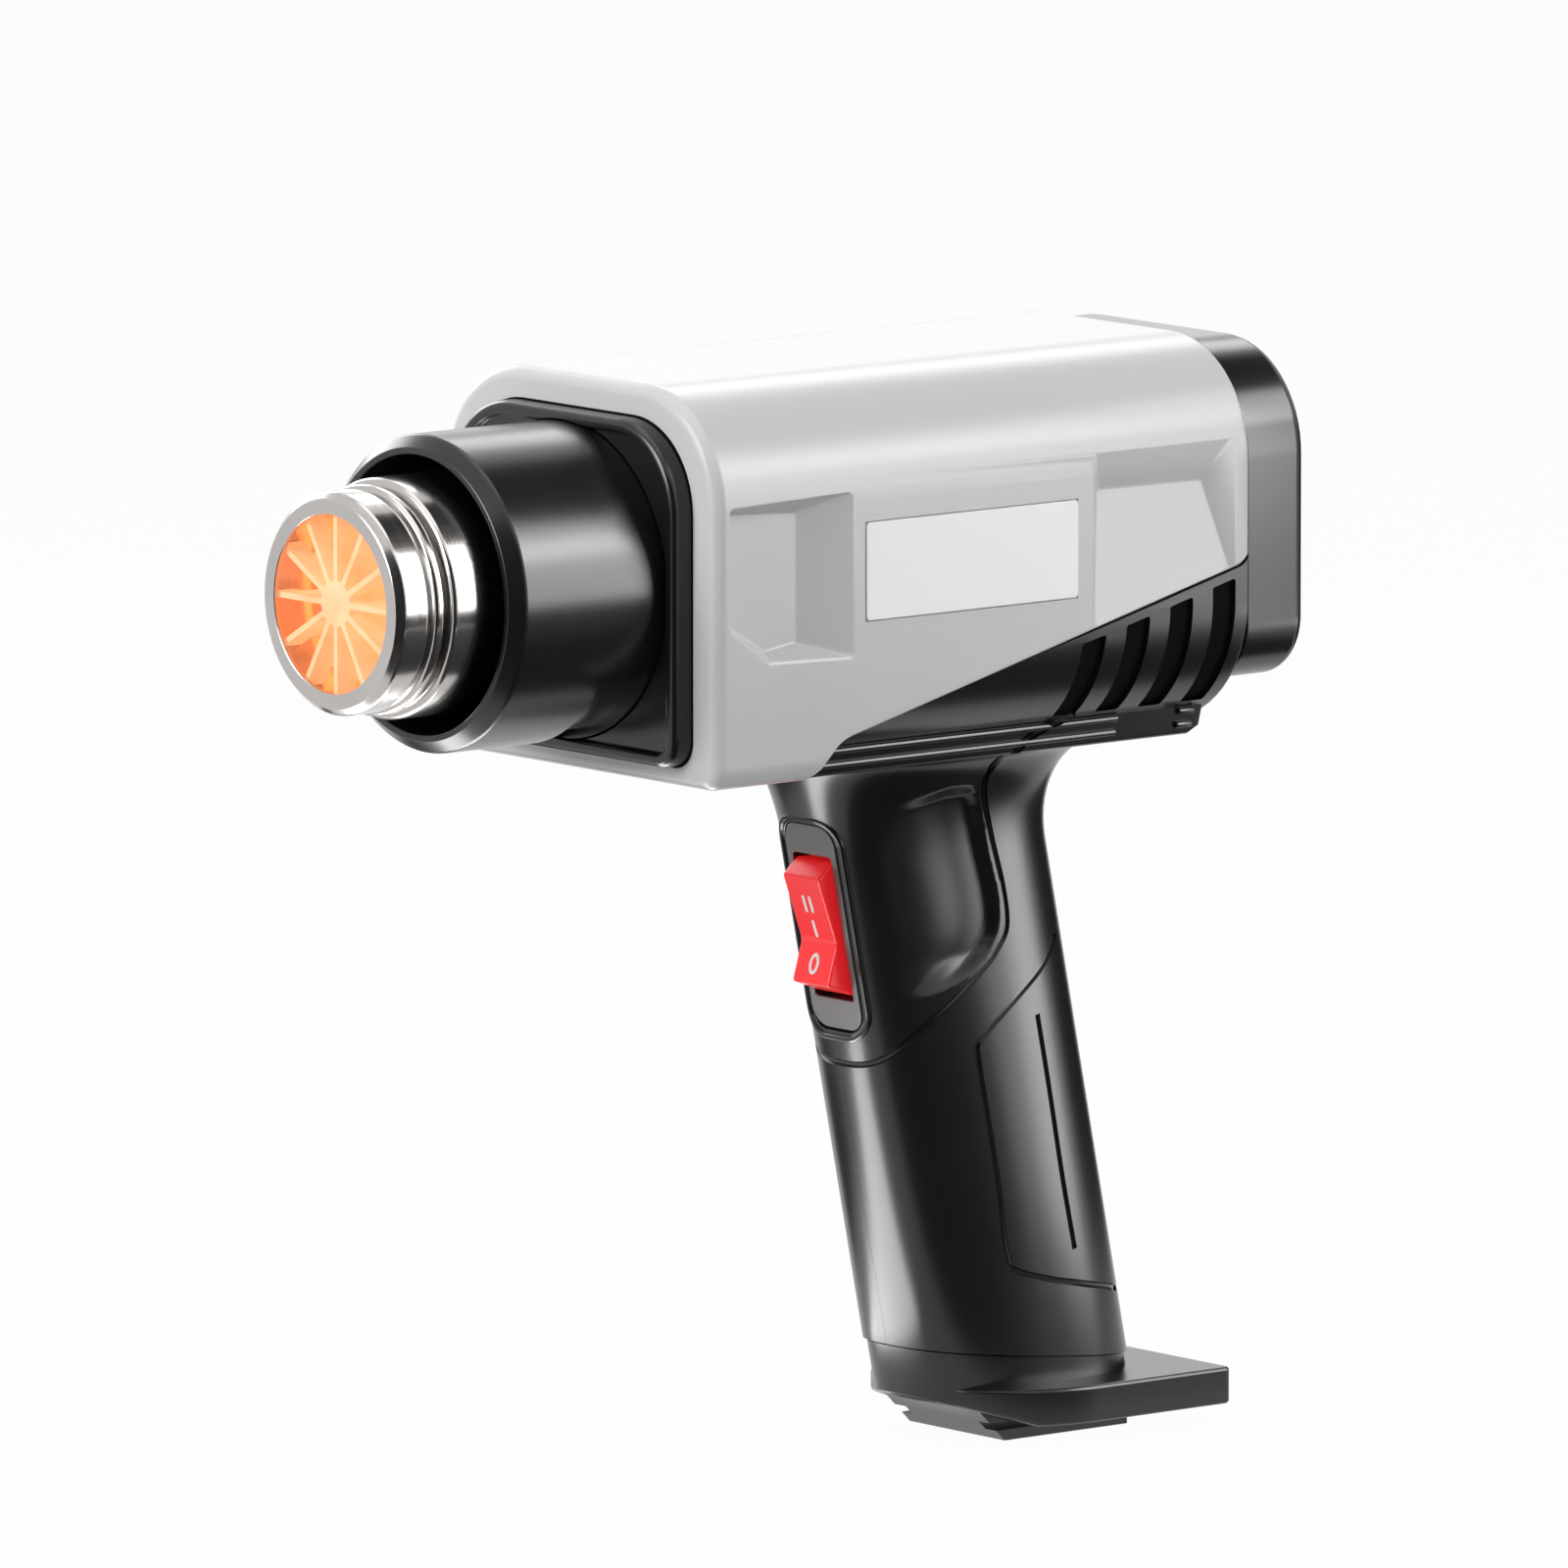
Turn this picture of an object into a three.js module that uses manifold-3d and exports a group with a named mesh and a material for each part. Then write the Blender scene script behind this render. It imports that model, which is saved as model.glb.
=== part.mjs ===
// A cordless hot air tool: a pistol-grip heat gun that runs on a slide-on battery.
// Millimetres. +X is the way the air blows, +Y the tool's left side, +Z up.
// The origin is the middle of the battery shoe's underside.

import * as THREE from 'three';
import { mergeVertices } from 'three/addons/utils/BufferGeometryUtils.js';
import Module from 'manifold-3d';

const wasm = await Module();
wasm.setup();

// Whole tool
const axisHeight = 158.5; // barrel axis above the shoe's underside
const bodyFront = 98; // front face of the cover, ahead of the origin
const clearance = 0.3; // between pieces that touch
const partingGap = 0.3; // between the two housing halves

// Body section, measured from the barrel axis
const bodyWidth = 75.2;
const bodyTop = 35;
const bodyBottom = 33.6;
const shoulderRadius = 20.5;
const chineRadius = 23.5;
const skirtCorner = 4;
const keelDepth = 1.4; // keel below the housing's chines
const keelWidth = 56;
const keelRear = 1.6; // its upper rear end ahead of the housing's
const keelSlope = 2.4; // slope of its rear end
const keelRamp = 6; // length of its sloped front end

// Upper cover
const coverLength = 120;
const coverWall = 2.6;
const skirtLength = 21.5; // full-depth ring behind the front face
const hemStart = 28; // where the slanted hem begins, behind the front face
const hemFrontDrop = 26.9; // hem below the axis at its front end
const hemRearDrop = 3.5; // and at its rear end
const pocketDepth = 2.4; // styling pockets in the cover's sides
const pocketWall = 1.6; // what is left behind them
const labelLength = 47.4;
const labelHeight = 17;
const labelThickness = 0.8;
const labelSeat = 0.5; // depth of the label's seat in the cover
const labelSetback = 33.2; // label's front end behind the cover's front face
const labelRise = 2; // label's middle above the axis

// Housing
const housingWall = 2.4;
const tongueHeight = 4.5; // lip of the housing inside the cover
const bulkheadWall = 3;
const ventCount = 4;
const ventWidth = 5.2;
const ventPitch = 9.7;
const ventSetback = 3.4; // last vent ahead of the housing's rear end
const ventBelowHem = 1.9;
const ventBottomDrop = 28.6;
const railHeight = 0.8; // twin trim rails along the keel's sides
const railWidth = 1.2;
const railDrops = [30.5, 33]; // below the axis
const railBreak = [21.4, 7.6]; // gap in the rails, ahead of the housing's rear end

// Handle
const handleDepth = 48.4; // front to back
const handleWidth = 34;
const handlePower = 2.5; // squareness of the section
const handleLean = 11.5; // degrees
const handleRootX = 1.4; // centreline at the shoe's underside
const handleFlareFront = 5; // fillet into the body, ahead
const handleFlareRear = 16; // and behind
const handleFlareHeight = 18;
const seamHeight = 14.5; // parting with the shoe
const seamTilt = 5.8; // degrees

// Collar, shroud and nozzle
const collarReach = 4.1; // ahead of the cover's front face
const collarRim = 6.6; // cover's front face beside the collar
const collarRimTop = 5.6;
const collarRimBottom = 3.6;
const collarRadius = 16;
const collarLowerRadius = 5;
const collarFlange = 2.5;
const collarLip = 2; // how far the flange stands out above and below
const collarPanelInset = 4;
const collarPanelDepth = 1.2;
const shroudReach = 35.8; // front lip ahead of the cover's front face
const shroudRadius = 27.55;
const shroudBore = 24.15;
const shroudChamfer = 2.2;
const shroudFlange = 2.5;
const shroudFlangeLip = 2.2;
const reliefLength = 9; // notch low in the shroud's rear end
const tipReach = 54.6; // nozzle tip ahead of the cover's front face
const tipRadius = 18;
const nozzleFrontRadius = 19.3;
const nozzleFrontLength = 6.3;
const nozzleBeadRadius = 19.9;
const nozzleGroove = 1; // depth of the grooves each side of the bead
const nozzleNeckLength = 4.6;
const nozzleRadius = 20.8;
const nozzleWall = 1;
const nozzleLip = 2.6; // width of the tip ring
const nozzleFlange = 1.2;
const nozzleFlangeLip = 3.7;

// Heater
const sleeveWall = 0.7;
const vaneCount = 12;
const vaneThickness = 1;
const frameTipLength = 4;
const frameTailLength = 4;
const frameHubRadius = 4;
const frameHubStub = 5;
const coilTurns = 10;
const coilRadius = 14.6;
const coilWire = 0.7; // radius of the wire
const baseThickness = 4;
const baseRim = 2;
const baseArm = 2.6;
const baseHubRadius = 6.5;
const cutoutLength = 7;
const cutoutWidth = 6;
const cutoutHeight = 3.4;

// Air duct, fan and motor
const ductLength = 45;
const ductRadius = 27;
const ductWall = 2;
const ductNeckLength = 7;
const ductConeLength = 9;
const ductStep = 1.6;
const fanSetback = 21; // fan's front behind the duct's front
const fanLength = 13;
const fanRunningGap = 0.8;
const fanHubRadius = 9.5;
const fanBlades = 7;
const fanPitch = 35; // degrees
const bladeThickness = 1.2;
const motorSetback = 36; // motor's front behind the duct's front
const motorRadius = 13.85;
const motorLength = 37.8;
const motorWall = 1.2;
const carrierLength = 8;
const carrierWall = 2;
const carrierArms = 4;
const carrierArm = 1.8;
const shaftRadius = 1.2;
const shaftStub = 2;
const bushRadius = 3;
const bushLength = 4;
const endCapThickness = 4;
const magnetThickness = 1.5;
const magnetOverhang = 2; // magnet past each end of the rotor
const magnetSpan = 120; // degrees
const rotorFrontGap = 4.1; // rotor to front bush
const rotorRearGap = 1.3; // commutator to end cap
const rotorAirGap = 0.5;
const rotorSlot = 2.4;
const commutatorRadius = 4.5;
const commutatorLength = 5;

// Rear cap and control board
const capDepth = 13.6;
const capSideStep = 1.2; // cap set in from the cover's sides
const capTopStep = 1.5;
const capBottomStep = 8.1;
const capShoulder = 19.4;
const capLowerRadius = 11;
const capWall = 2.4;
const capEdge = 2.5; // rounded rear edge
const capSpigotLength = 4;
const capSpigotInset = 2;
const louvreCount = 5;
const louvreWidth = 34;
const louvreHeight = 3;
const louvrePitch = 7;
const capScrewInset = 10.4; // in from the cap's sides
const capScrewDrop = 14;
const boardSetback = 8; // board's rear face ahead of the body's rear end
const boardSideGap = 0.4; // between the board and the cap's bosses
const boardHeight = 42;
const boardThickness = 1.6;
const boardDrop = 26; // board's lower edge below the axis
const boardRibWidth = 5;
const boardRibHeight = 6;
const sinkShare = 0.45; // of the board's width
const sinkHeight = 16;
const sinkDepth = 9;
const sinkFins = 5;
const sinkFin = 1.6;
const sinkBase = 2.4;
const capacitorRadius = 5;
const capacitorLength = 10;

// Rocker switch, laid out square to the front of the handle
const switchDrop = 61.6; // its middle below the barrel axis
const recessHeight = 38;
const recessWidth = 14;
const recessCorner = 4;
const recessFloor = 22.4; // floor ahead of the handle's centreline
const recessWall = 2.2;
const rockerLength = 24.4;
const rockerWidth = 10;
const rockerTopRise = 3.6; // pressed end above the recess floor
const rockerCreaseRise = 1.8;
const rockerBottomRise = 5.3;
const rockerCrease = -2.4; // crease along the rocker from its middle
const rockerTopShoulder = 2.1; // slope of the ends
const rockerShoulder = 3.2;
const rockerDepth = 10; // below the floor
const pivotDepth = 4; // pivot below the floor
const pivotRadius = 1.5;
const pivotLength = 1.5;
const rockerSwing = 14; // degrees from the photographed position
const switchWall = 1.8;
const switchDepth = 15;
const terminalWidth = 4.8;
const terminalThickness = 0.8;
const terminalLength = 10;
const terminalPitch = 8;

// Battery shoe
const shoeNose = 25.8; // ahead of the origin
const shoeHeel = 29.8; // behind it
const shoeWidth = 48;
const shoeNoseLength = 25; // length of the rounded front
const shoeRail = 3.4; // rails below the plate
const shoeTop = 10;
const shoeFloor = 6;
const shoeStubStep = 0.6; // stub set in from the handle
const chinLength = 14;
const chinRise = 4.5;
const railBlockWidth = 26;
const railBlockHeel = 15;
const railBlockNose = 13;
const railBlockSlope = 8;
const railGroove = 3;
const railFlange = 1.9;
const spigotHeight = 6;
const spigotWall = 2;
const bladeSpacing = 14;
const bladeLength = 10;
const bladeGauge = 0.8;
const bladeSlot = 3;
const bladeFoot = 0.8; // blade's lower end above the underside
const bladeTail = 4; // blade above the terminal block
const blockLength = 16;
const blockWidth = 22;
const blockHeight = 7;
const blockX = 2; // middle of the terminal block

// Screws
const screwRadius = 1.5;
const screwHead = 2.9;
const screwHeadHeight = 2;
const screwLength = 16;
const screwBoss = 3.6;
const screwSetback = 72.4; // body screw behind the cover's front face
const screwDrop = 24;
const handleScrewShares = [0.538, 0.269]; // of the height from the underside to the body
const handleScrewOffset = -6; // behind the handle's centreline

// Leads
const leadRadius = 1.1;
const leadSides = 6;

// Fineness of the round forms
const roundSegments = 28;
const smallSegments = 14;
const cornerSteps = 3;
const handleSegments = 28;
const far = 200;

// Finishes
const blackPlastic = new THREE.MeshStandardMaterial({ color: 0x141416, roughness: 0.35, metalness: 0 });
const whitePlastic = new THREE.MeshStandardMaterial({ color: 0xd9d9d9, roughness: 0.4, metalness: 0 });
const labelFinish = new THREE.MeshStandardMaterial({ color: 0xf0f0f0, roughness: 0.5, metalness: 0 });
const steel = new THREE.MeshStandardMaterial({ color: 0xb9b4b0, roughness: 0.25, metalness: 1 });
const mica = new THREE.MeshStandardMaterial({ color: 0xc8b48c, roughness: 0.7, metalness: 0 });
const glowWire = new THREE.MeshStandardMaterial({ color: 0xff7a30, roughness: 0.6, metalness: 0.4 });
const ceramic = new THREE.MeshStandardMaterial({ color: 0xe8e2d6, roughness: 0.8, metalness: 0 });
const brass = new THREE.MeshStandardMaterial({ color: 0xc9a24d, roughness: 0.35, metalness: 1 });
const redPlastic = new THREE.MeshStandardMaterial({ color: 0xd81010, roughness: 0.3, metalness: 0 });
const greenBoard = new THREE.MeshStandardMaterial({ color: 0x1d5a34, roughness: 0.5, metalness: 0 });
const darkIron = new THREE.MeshStandardMaterial({ color: 0x4a4a4e, roughness: 0.6, metalness: 0.6 });
const redLead = new THREE.MeshStandardMaterial({ color: 0xb01818, roughness: 0.5, metalness: 0 });
const blackLead = new THREE.MeshStandardMaterial({ color: 0x1a1a1a, roughness: 0.5, metalness: 0 });

// Stations along the barrel, front to back
const tip = bodyFront + tipReach;
const bodyRear = bodyFront - coverLength;
const collarRear = bodyFront - coverWall - clearance - collarFlange;
const shroudFront = bodyFront + shroudReach;
const shroudFlangeFront = collarRear - clearance;
const shroudRear = shroudFlangeFront - shroudFlange;
const bulkheadFront = shroudRear - clearance;
const bulkheadRear = bulkheadFront - bulkheadWall;
const nozzleFlangeFront = bulkheadRear - clearance;
const nozzleRear = nozzleFlangeFront - nozzleFlange;
const ductFront = nozzleRear - clearance;
const ductRear = ductFront - ductLength;
const fanFront = ductFront - fanSetback;
const motorFront = ductFront - motorSetback;
const motorRear = motorFront - motorLength;
const boardRear = bodyRear + boardSetback;
const boardFront = boardRear + boardThickness;
const capFront = bodyRear - clearance;
const capRear = capFront - capDepth;
const halfBody = bodyWidth / 2;
const collarWidth = bodyWidth - 2 * collarRim;
const collarTop = bodyTop - collarRimTop;
const collarBottom = bodyBottom - collarRimBottom;
const capWidth = bodyWidth - 2 * capSideStep;
const capTop = bodyTop - capTopStep;
const capBottom = bodyBottom - capBottomStep;
const capScrewOffset = capWidth / 2 - capScrewInset;
const boardWidth = 2 * (capScrewOffset - screwBoss - boardSideGap);
const padFace = halfBody - pocketDepth - pocketWall; // inner side of the cover behind its pockets
const lean = THREE.MathUtils.degToRad(handleLean);

// Solids

function solid(geometry) {
  const bare = geometry.index ? geometry.toNonIndexed() : geometry.clone();
  bare.deleteAttribute('normal');
  bare.deleteAttribute('uv');
  const welded = mergeVertices(bare, 1e-4);
  const points = welded.attributes.position;
  const corner = [new THREE.Vector3(), new THREE.Vector3(), new THREE.Vector3()];
  const triangles = [];
  let volume = 0;
  for (let i = 0; i < welded.index.count; i += 3) {
    const face = [welded.index.getX(i), welded.index.getX(i + 1), welded.index.getX(i + 2)];
    if (new Set(face).size === 3) {
      face.forEach((vertex, k) => corner[k].fromBufferAttribute(points, vertex));
      volume += corner[0].dot(corner[1].clone().cross(corner[2]));
      triangles.push(face);
    }
  }
  const facing = volume < 0 ? triangles.map(([a, b, c]) => [a, c, b]) : triangles;
  return new wasm.Manifold(new wasm.Mesh({
    numProp: 3,
    vertProperties: new Float32Array(points.array),
    triVerts: new Uint32Array(facing.flat()),
  }));
}

function join(...solids) {
  return solids.reduce((whole, next) => whole.add(next));
}

function cut(whole, ...tools) {
  return tools.reduce((left, tool) => left.subtract(tool), whole);
}

function outline(points) {
  return new THREE.Shape(points.map(([a, b]) => new THREE.Vector2(a, b)));
}

function roundedBox(half, bottom, top, lower, upper) {
  const shape = new THREE.Shape();
  shape.absarc(half - lower, bottom + lower, lower, -Math.PI / 2, 0);
  shape.absarc(half - upper, top - upper, upper, 0, Math.PI / 2);
  shape.absarc(-half + upper, top - upper, upper, Math.PI / 2, Math.PI);
  shape.absarc(-half + lower, bottom + lower, lower, Math.PI, Math.PI * 1.5);
  return shape;
}

const acrossBarrel = new THREE.Matrix4().makeBasis(
  new THREE.Vector3(0, 1, 0), new THREE.Vector3(0, 0, 1), new THREE.Vector3(1, 0, 0));
const acrossTool = new THREE.Matrix4().makeBasis(
  new THREE.Vector3(1, 0, 0), new THREE.Vector3(0, 0, 1), new THREE.Vector3(0, -1, 0));

function extruded(shape, depth) {
  return new THREE.ExtrudeGeometry(shape, { depth, bevelEnabled: false, curveSegments: cornerSteps });
}

// A (y, z) outline about the barrel axis, swept along x
function alongBarrel(shape, rear, front) {
  const geometry = extruded(shape, front - rear).applyMatrix4(acrossBarrel);
  return solid(geometry.translate(rear, 0, axisHeight));
}

// An (x, z) outline swept across the tool
function across(shape, right, left) {
  const geometry = extruded(shape, left - right).applyMatrix4(acrossTool);
  return solid(geometry.translate(0, left, 0));
}

function block(x0, x1, y0, y1, z0, z1) {
  const geometry = new THREE.BoxGeometry(x1 - x0, y1 - y0, z1 - z0);
  return solid(geometry.translate((x0 + x1) / 2, (y0 + y1) / 2, (z0 + z1) / 2));
}

// A turned profile of [radius, station along the axis] points
function turned(profile, axis, at, segments) {
  const points = profile.map(([radius, along]) => new THREE.Vector2(radius, along));
  const geometry = new THREE.LatheGeometry(points, segments);
  if (axis === 'x') geometry.rotateZ(-Math.PI / 2);
  if (axis === 'z') geometry.rotateX(Math.PI / 2);
  return solid(geometry.translate(...at));
}

function onBarrel(profile, segments = roundSegments) {
  return turned(profile, 'x', [0, 0, axisHeight], segments);
}

function rod(radius, from, to, axis, at, segments = smallSegments) {
  return turned([[0, from], [radius, from], [radius, to], [0, to]], axis, at, segments);
}

function tube(bore, radius, rear, front) {
  return onBarrel([[bore, rear], [radius, rear], [radius, front], [bore, front], [bore, rear]]);
}

function aboutBarrel(part, degrees) {
  return part.translate([0, 0, -axisHeight]).rotate([degrees, 0, 0]).translate([0, 0, axisHeight]);
}

function mirrored(part) {
  return part.mirror([0, 1, 0]);
}

// Body sections and the hem between cover and housing

function bodyShape(inset, lowerRadius) {
  const lower = Math.max(lowerRadius - inset, 1);
  return roundedBox(halfBody - inset, inset - bodyBottom, bodyTop - inset, lower, shoulderRadius - inset);
}

function hemHeight(x) {
  const run = (bodyFront - hemStart - x) / (coverLength - hemStart);
  return axisHeight - hemFrontDrop + run * (hemFrontDrop - hemRearDrop);
}

// Everything under the hem, raised by lift, behind the skirt
function underHem(lift, skirtGap) {
  const skirt = bodyFront - skirtLength - skirtGap;
  const start = bodyFront - hemStart - skirtGap;
  return across(outline([
    [skirt, axisHeight - far],
    [skirt, axisHeight - bodyBottom + lift],
    [start, hemHeight(start) + lift],
    [bodyRear - far, hemHeight(bodyRear - far) + lift],
    [bodyRear - far, axisHeight - far],
  ]), -far, far);
}

// Everything under the hem line, carried straight forward ahead of it
function underTongue() {
  const start = bodyFront - hemStart;
  return across(outline([
    [bodyFront + far, axisHeight - far],
    [bodyFront + far, hemHeight(start) + tongueHeight],
    [start, hemHeight(start) + tongueHeight],
    [bodyRear - far, hemHeight(bodyRear - far) + tongueHeight],
    [bodyRear - far, axisHeight - far],
  ]), -far, far);
}

// A styling pocket: its rim on the cover's side, its floor points at their own depths
function sidePocket(rim, floor) {
  const rings = [
    rim.map(([x, z]) => [x, halfBody + 1, z]),
    rim.map(([x, z]) => [x, halfBody, z]),
    floor.map(([x, z, depth]) => [x, halfBody - depth, z]),
  ];
  const count = rim.length;
  const points = rings.flat().map(([x, y, z]) => [bodyFront - x, y, axisHeight + z]);
  const contour = rim.map(([x, z]) => new THREE.Vector2(x, z));
  const turns = Math.sign(THREE.ShapeUtils.area(contour));
  const caps = THREE.ShapeUtils.triangulateShape(contour, []).map((face) => {
    const same = Math.sign(THREE.ShapeUtils.area(face.map((i) => contour[i]))) === turns;
    return same ? face : [face[0], face[2], face[1]];
  });
  const last = 2 * count;
  const faces = [...caps, ...caps.map(([a, b, c]) => [last + a, last + c, last + b])];
  for (let ring = 0; ring < 2; ring += 1) {
    for (let i = 0; i < count; i += 1) {
      const a = ring * count + i;
      const b = ring * count + (i + 1) % count;
      faces.push([a, a + count, b], [b, a + count, b + count]);
    }
  }
  const geometry = new THREE.BufferGeometry();
  geometry.setAttribute('position', new THREE.Float32BufferAttribute(points.flat(), 3));
  geometry.setIndex(faces.flat());
  return solid(geometry);
}

// Pocket rims and floors as [behind the front face, above the axis, depth]
const frontPocketRim = [[3.2, 15.2], [30.6, 16.2], [30.6, -12.5], [11.9, -12], [3.2, -5.6]];
const frontPocketFloor = [[3.6, 14.4], [19.5, 13.3], [19.5, -9.3], [12.3, -10.3], [3.6, -4.9]]
  .map(([x, z]) => [x, z, pocketDepth]);
const rearPocketTop = 19.2;
const rearPocketRim = [[84, rearPocketTop], [116.8, rearPocketTop]];
const rearPocketFloor = [[86.9, 11.6, pocketDepth], [110.3, 11.4, pocketDepth]];

function frontPocket() {
  return sidePocket(frontPocketRim, frontPocketFloor);
}

function rearPocket() {
  const hemAt = (back) => hemHeight(bodyFront - back) - axisHeight;
  const heel = rearPocketRim[1][0];
  const toe = rearPocketRim[0][0];
  const rim = [...rearPocketRim, [heel, hemAt(heel)], [toe, hemAt(toe)]];
  const shallow = 0.05;
  const lowHeel = heel - 2;
  const floor = [...rearPocketFloor, [lowHeel, hemAt(lowHeel) + 0.1, shallow],
    [toe + 0.3, hemAt(toe) + 0.1, shallow]];
  return sidePocket(rim, floor);
}

function pocketPad(nearBack, farBack, bottom, top) {
  return block(bodyFront - farBack, bodyFront - nearBack, padFace, halfBody - coverWall / 2,
    axisHeight + bottom, axisHeight + top);
}

function labelSolid(grow, depth, stand) {
  const front = bodyFront - labelSetback;
  const middle = axisHeight + labelRise;
  return block(front - labelLength - grow, front + grow, halfBody - depth, halfBody + stand,
    middle - labelHeight / 2 - grow, middle + labelHeight / 2 + grow);
}

function upperCover() {
  const outer = alongBarrel(bodyShape(0, skirtCorner), bodyRear, bodyFront);
  const inner = alongBarrel(bodyShape(coverWall, skirtCorner), bodyRear - 1, bodyFront - coverWall);
  const mouth = alongBarrel(collarShape(clearance), bodyFront - coverWall - 1, bodyFront + 1);
  const pads = join(
    pocketPad(coverWall, frontPocketRim[1][0] + pocketWall, frontPocketRim[2][1] - pocketWall,
      frontPocketRim[1][1] + pocketWall),
    pocketPad(rearPocketRim[0][0] - pocketWall, coverLength - capSpigotLength - clearance, 2,
      rearPocketTop + pocketWall));
  const cuts = join(frontPocket(), rearPocket(), labelSolid(clearance, labelSeat, 1));
  const shell = join(cut(outer, inner, mouth), pads, mirrored(pads));
  return cut(shell, cuts, mirrored(cuts), underHem(0, 0));
}

function labelPlate() {
  return labelSolid(0, labelSeat - clearance / 2, labelThickness - labelSeat);
}

// Handle sections: horizontal superellipses along a leaning centreline

function handleCentre(z) {
  return handleRootX + Math.tan(lean) * z;
}

// Profile of [share of the flare, height] points; a null share closes the form on its centreline
function handleForm(inset, profile) {
  const points = profile.map(([share, z]) => new THREE.Vector2(share === null ? 0 : 1 + share, z));
  const geometry = new THREE.LatheGeometry(points, handleSegments).rotateX(Math.PI / 2);
  const position = geometry.attributes.position;
  const halfDepth = handleDepth / 2 - inset;
  const halfWidth = handleWidth / 2 - inset;
  for (let i = 0; i < position.count; i += 1) {
    const x = position.getX(i);
    const y = position.getY(i);
    const z = position.getZ(i);
    const radius = Math.hypot(x, y);
    if (radius < 1e-9) {
      position.setX(i, handleCentre(z));
      continue;
    }
    const forward = x / radius;
    const sideways = y / radius;
    const spread = Math.abs(forward) ** handlePower + Math.abs(sideways) ** handlePower;
    const bulge = spread ** (-1 / handlePower);
    const flare = (radius - 1) * THREE.MathUtils.lerp(handleFlareRear, handleFlareFront, (1 + forward) / 2);
    position.setXYZ(i, handleCentre(z) + forward * (bulge * halfDepth + flare),
      sideways * (bulge * halfWidth + flare), z);
  }
  return solid(geometry);
}

const bodyFloor = axisHeight - bodyBottom;
const keelFloor = bodyFloor - keelDepth;

function handleOuter() {
  const steps = [0, 22.5, 45, 67.5, 90].map((degrees) => THREE.MathUtils.degToRad(degrees));
  const fillet = steps.map((turn) => [1 - Math.cos(turn),
    keelFloor - handleFlareHeight * (1 - Math.sin(turn))]);
  return handleForm(0, [[null, 0], [0, 0], ...fillet, [1, keelFloor + housingWall],
    [null, keelFloor + housingWall]]);
}

function handleInner(inset, bottom, top) {
  return handleForm(inset, [[null, bottom], [0, bottom], [0, top], [null, top]]);
}

// The half space above or below the tilted seam between handle and shoe
function seamSide(direction) {
  const geometry = new THREE.BoxGeometry(far, far, far);
  geometry.translate(0, 0, direction * (far / 2 + clearance / 2));
  geometry.rotateY(-THREE.MathUtils.degToRad(seamTilt));
  return solid(geometry.translate(handleCentre(seamHeight), 0, seamHeight));
}

// Places a solid made in the switch's own frame: x out of the handle's front, z up along it
function onHandle(part) {
  const z = axisHeight - switchDrop;
  return part.rotate([0, handleLean, 0]).translate([handleCentre(z), 0, z]);
}

function switchOutline(halfWidth, halfHeight, corner, deep, out) {
  const shape = roundedBox(halfWidth, -halfHeight, halfHeight, corner, corner);
  const geometry = extruded(shape, out - deep).applyMatrix4(acrossBarrel);
  return solid(geometry.translate(deep, 0, 0));
}

const windowHalf = rockerLength / 2 + 1;
const switchFront = recessFloor - recessWall - clearance;
const switchBack = switchFront - switchDepth;
const switchHalfWidth = rockerWidth / 2 + clearance + switchWall;
const switchHalfHeight = windowHalf + switchWall;
const pivotOut = recessFloor - pivotDepth;

function switchBox(grow) {
  return block(switchBack - grow, switchFront + grow, -switchHalfWidth - grow, switchHalfWidth + grow,
    -switchHalfHeight - grow, switchHalfHeight + grow);
}

function terminalBlade(row, grow) {
  const z = row * terminalPitch;
  return block(switchBack + switchWall + 1 - terminalLength, switchBack + switchWall + 1,
    -terminalWidth / 2 - grow, terminalWidth / 2 + grow,
    z - terminalThickness / 2 - grow, z + terminalThickness / 2 + grow);
}

const terminalRows = [-1, 0, 1];

function switchBody() {
  const well = block(switchBack + switchWall, switchFront + 1, -rockerWidth / 2 - clearance,
    rockerWidth / 2 + clearance, -windowHalf, windowHalf);
  const pivots = rod(pivotRadius + clearance, -far, far, 'y', [pivotOut, 0, 0]);
  const slots = join(...terminalRows.map((row) => terminalBlade(row, clearance)));
  return onHandle(cut(switchBox(0), well, pivots, slots));
}

function rocker() {
  const half = rockerLength / 2;
  const side = outline([
    [recessFloor, half],
    [recessFloor - pivotDepth - 1, half - 1],
    [recessFloor - rockerDepth, half - 8],
    [recessFloor - rockerDepth, 8 - half],
    [recessFloor - pivotDepth - 1, 1 - half],
    [recessFloor, -half],
    [recessFloor + rockerBottomRise, rockerShoulder - half],
    [recessFloor + rockerCreaseRise, rockerCrease],
    [recessFloor + rockerTopRise, half - rockerTopShoulder],
  ]);
  const paddle = across(side, -rockerWidth / 2, rockerWidth / 2);
  const reach = rockerWidth / 2 + pivotLength;
  return onHandle(join(paddle, rod(pivotRadius, -reach, reach, 'y', [pivotOut, 0, 0])));
}

function switchTerminal(row) {
  return onHandle(terminalBlade(row, 0));
}

// Screws that draw the housing halves together: [x, z] of each axis and the half width there
function housingScrews() {
  const body = [bodyFront - screwSetback, axisHeight - screwDrop];
  const heights = handleScrewShares.map((share) => share * bodyFloor);
  const handle = heights.map((z) => [handleCentre(z) + handleScrewOffset, z]);
  return [body, ...handle];
}

const screwHeadSeat = -(screwLength / 2); // y of the head's underside

function screw(grow, headGrow, headReach) {
  const tipEnd = screwLength / 2;
  return [[0, tipEnd + grow], [screwRadius + grow, tipEnd + grow], [screwRadius + grow, screwHeadSeat + grow],
    [screwHead + headGrow, screwHeadSeat + grow], [screwHead + headGrow, screwHeadSeat - headReach],
    [0, screwHeadSeat - headReach]];
}

function housingScrew([x, z]) {
  return turned(screw(0, 0, screwHeadHeight), 'y', [x, 0, z], smallSegments);
}

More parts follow.
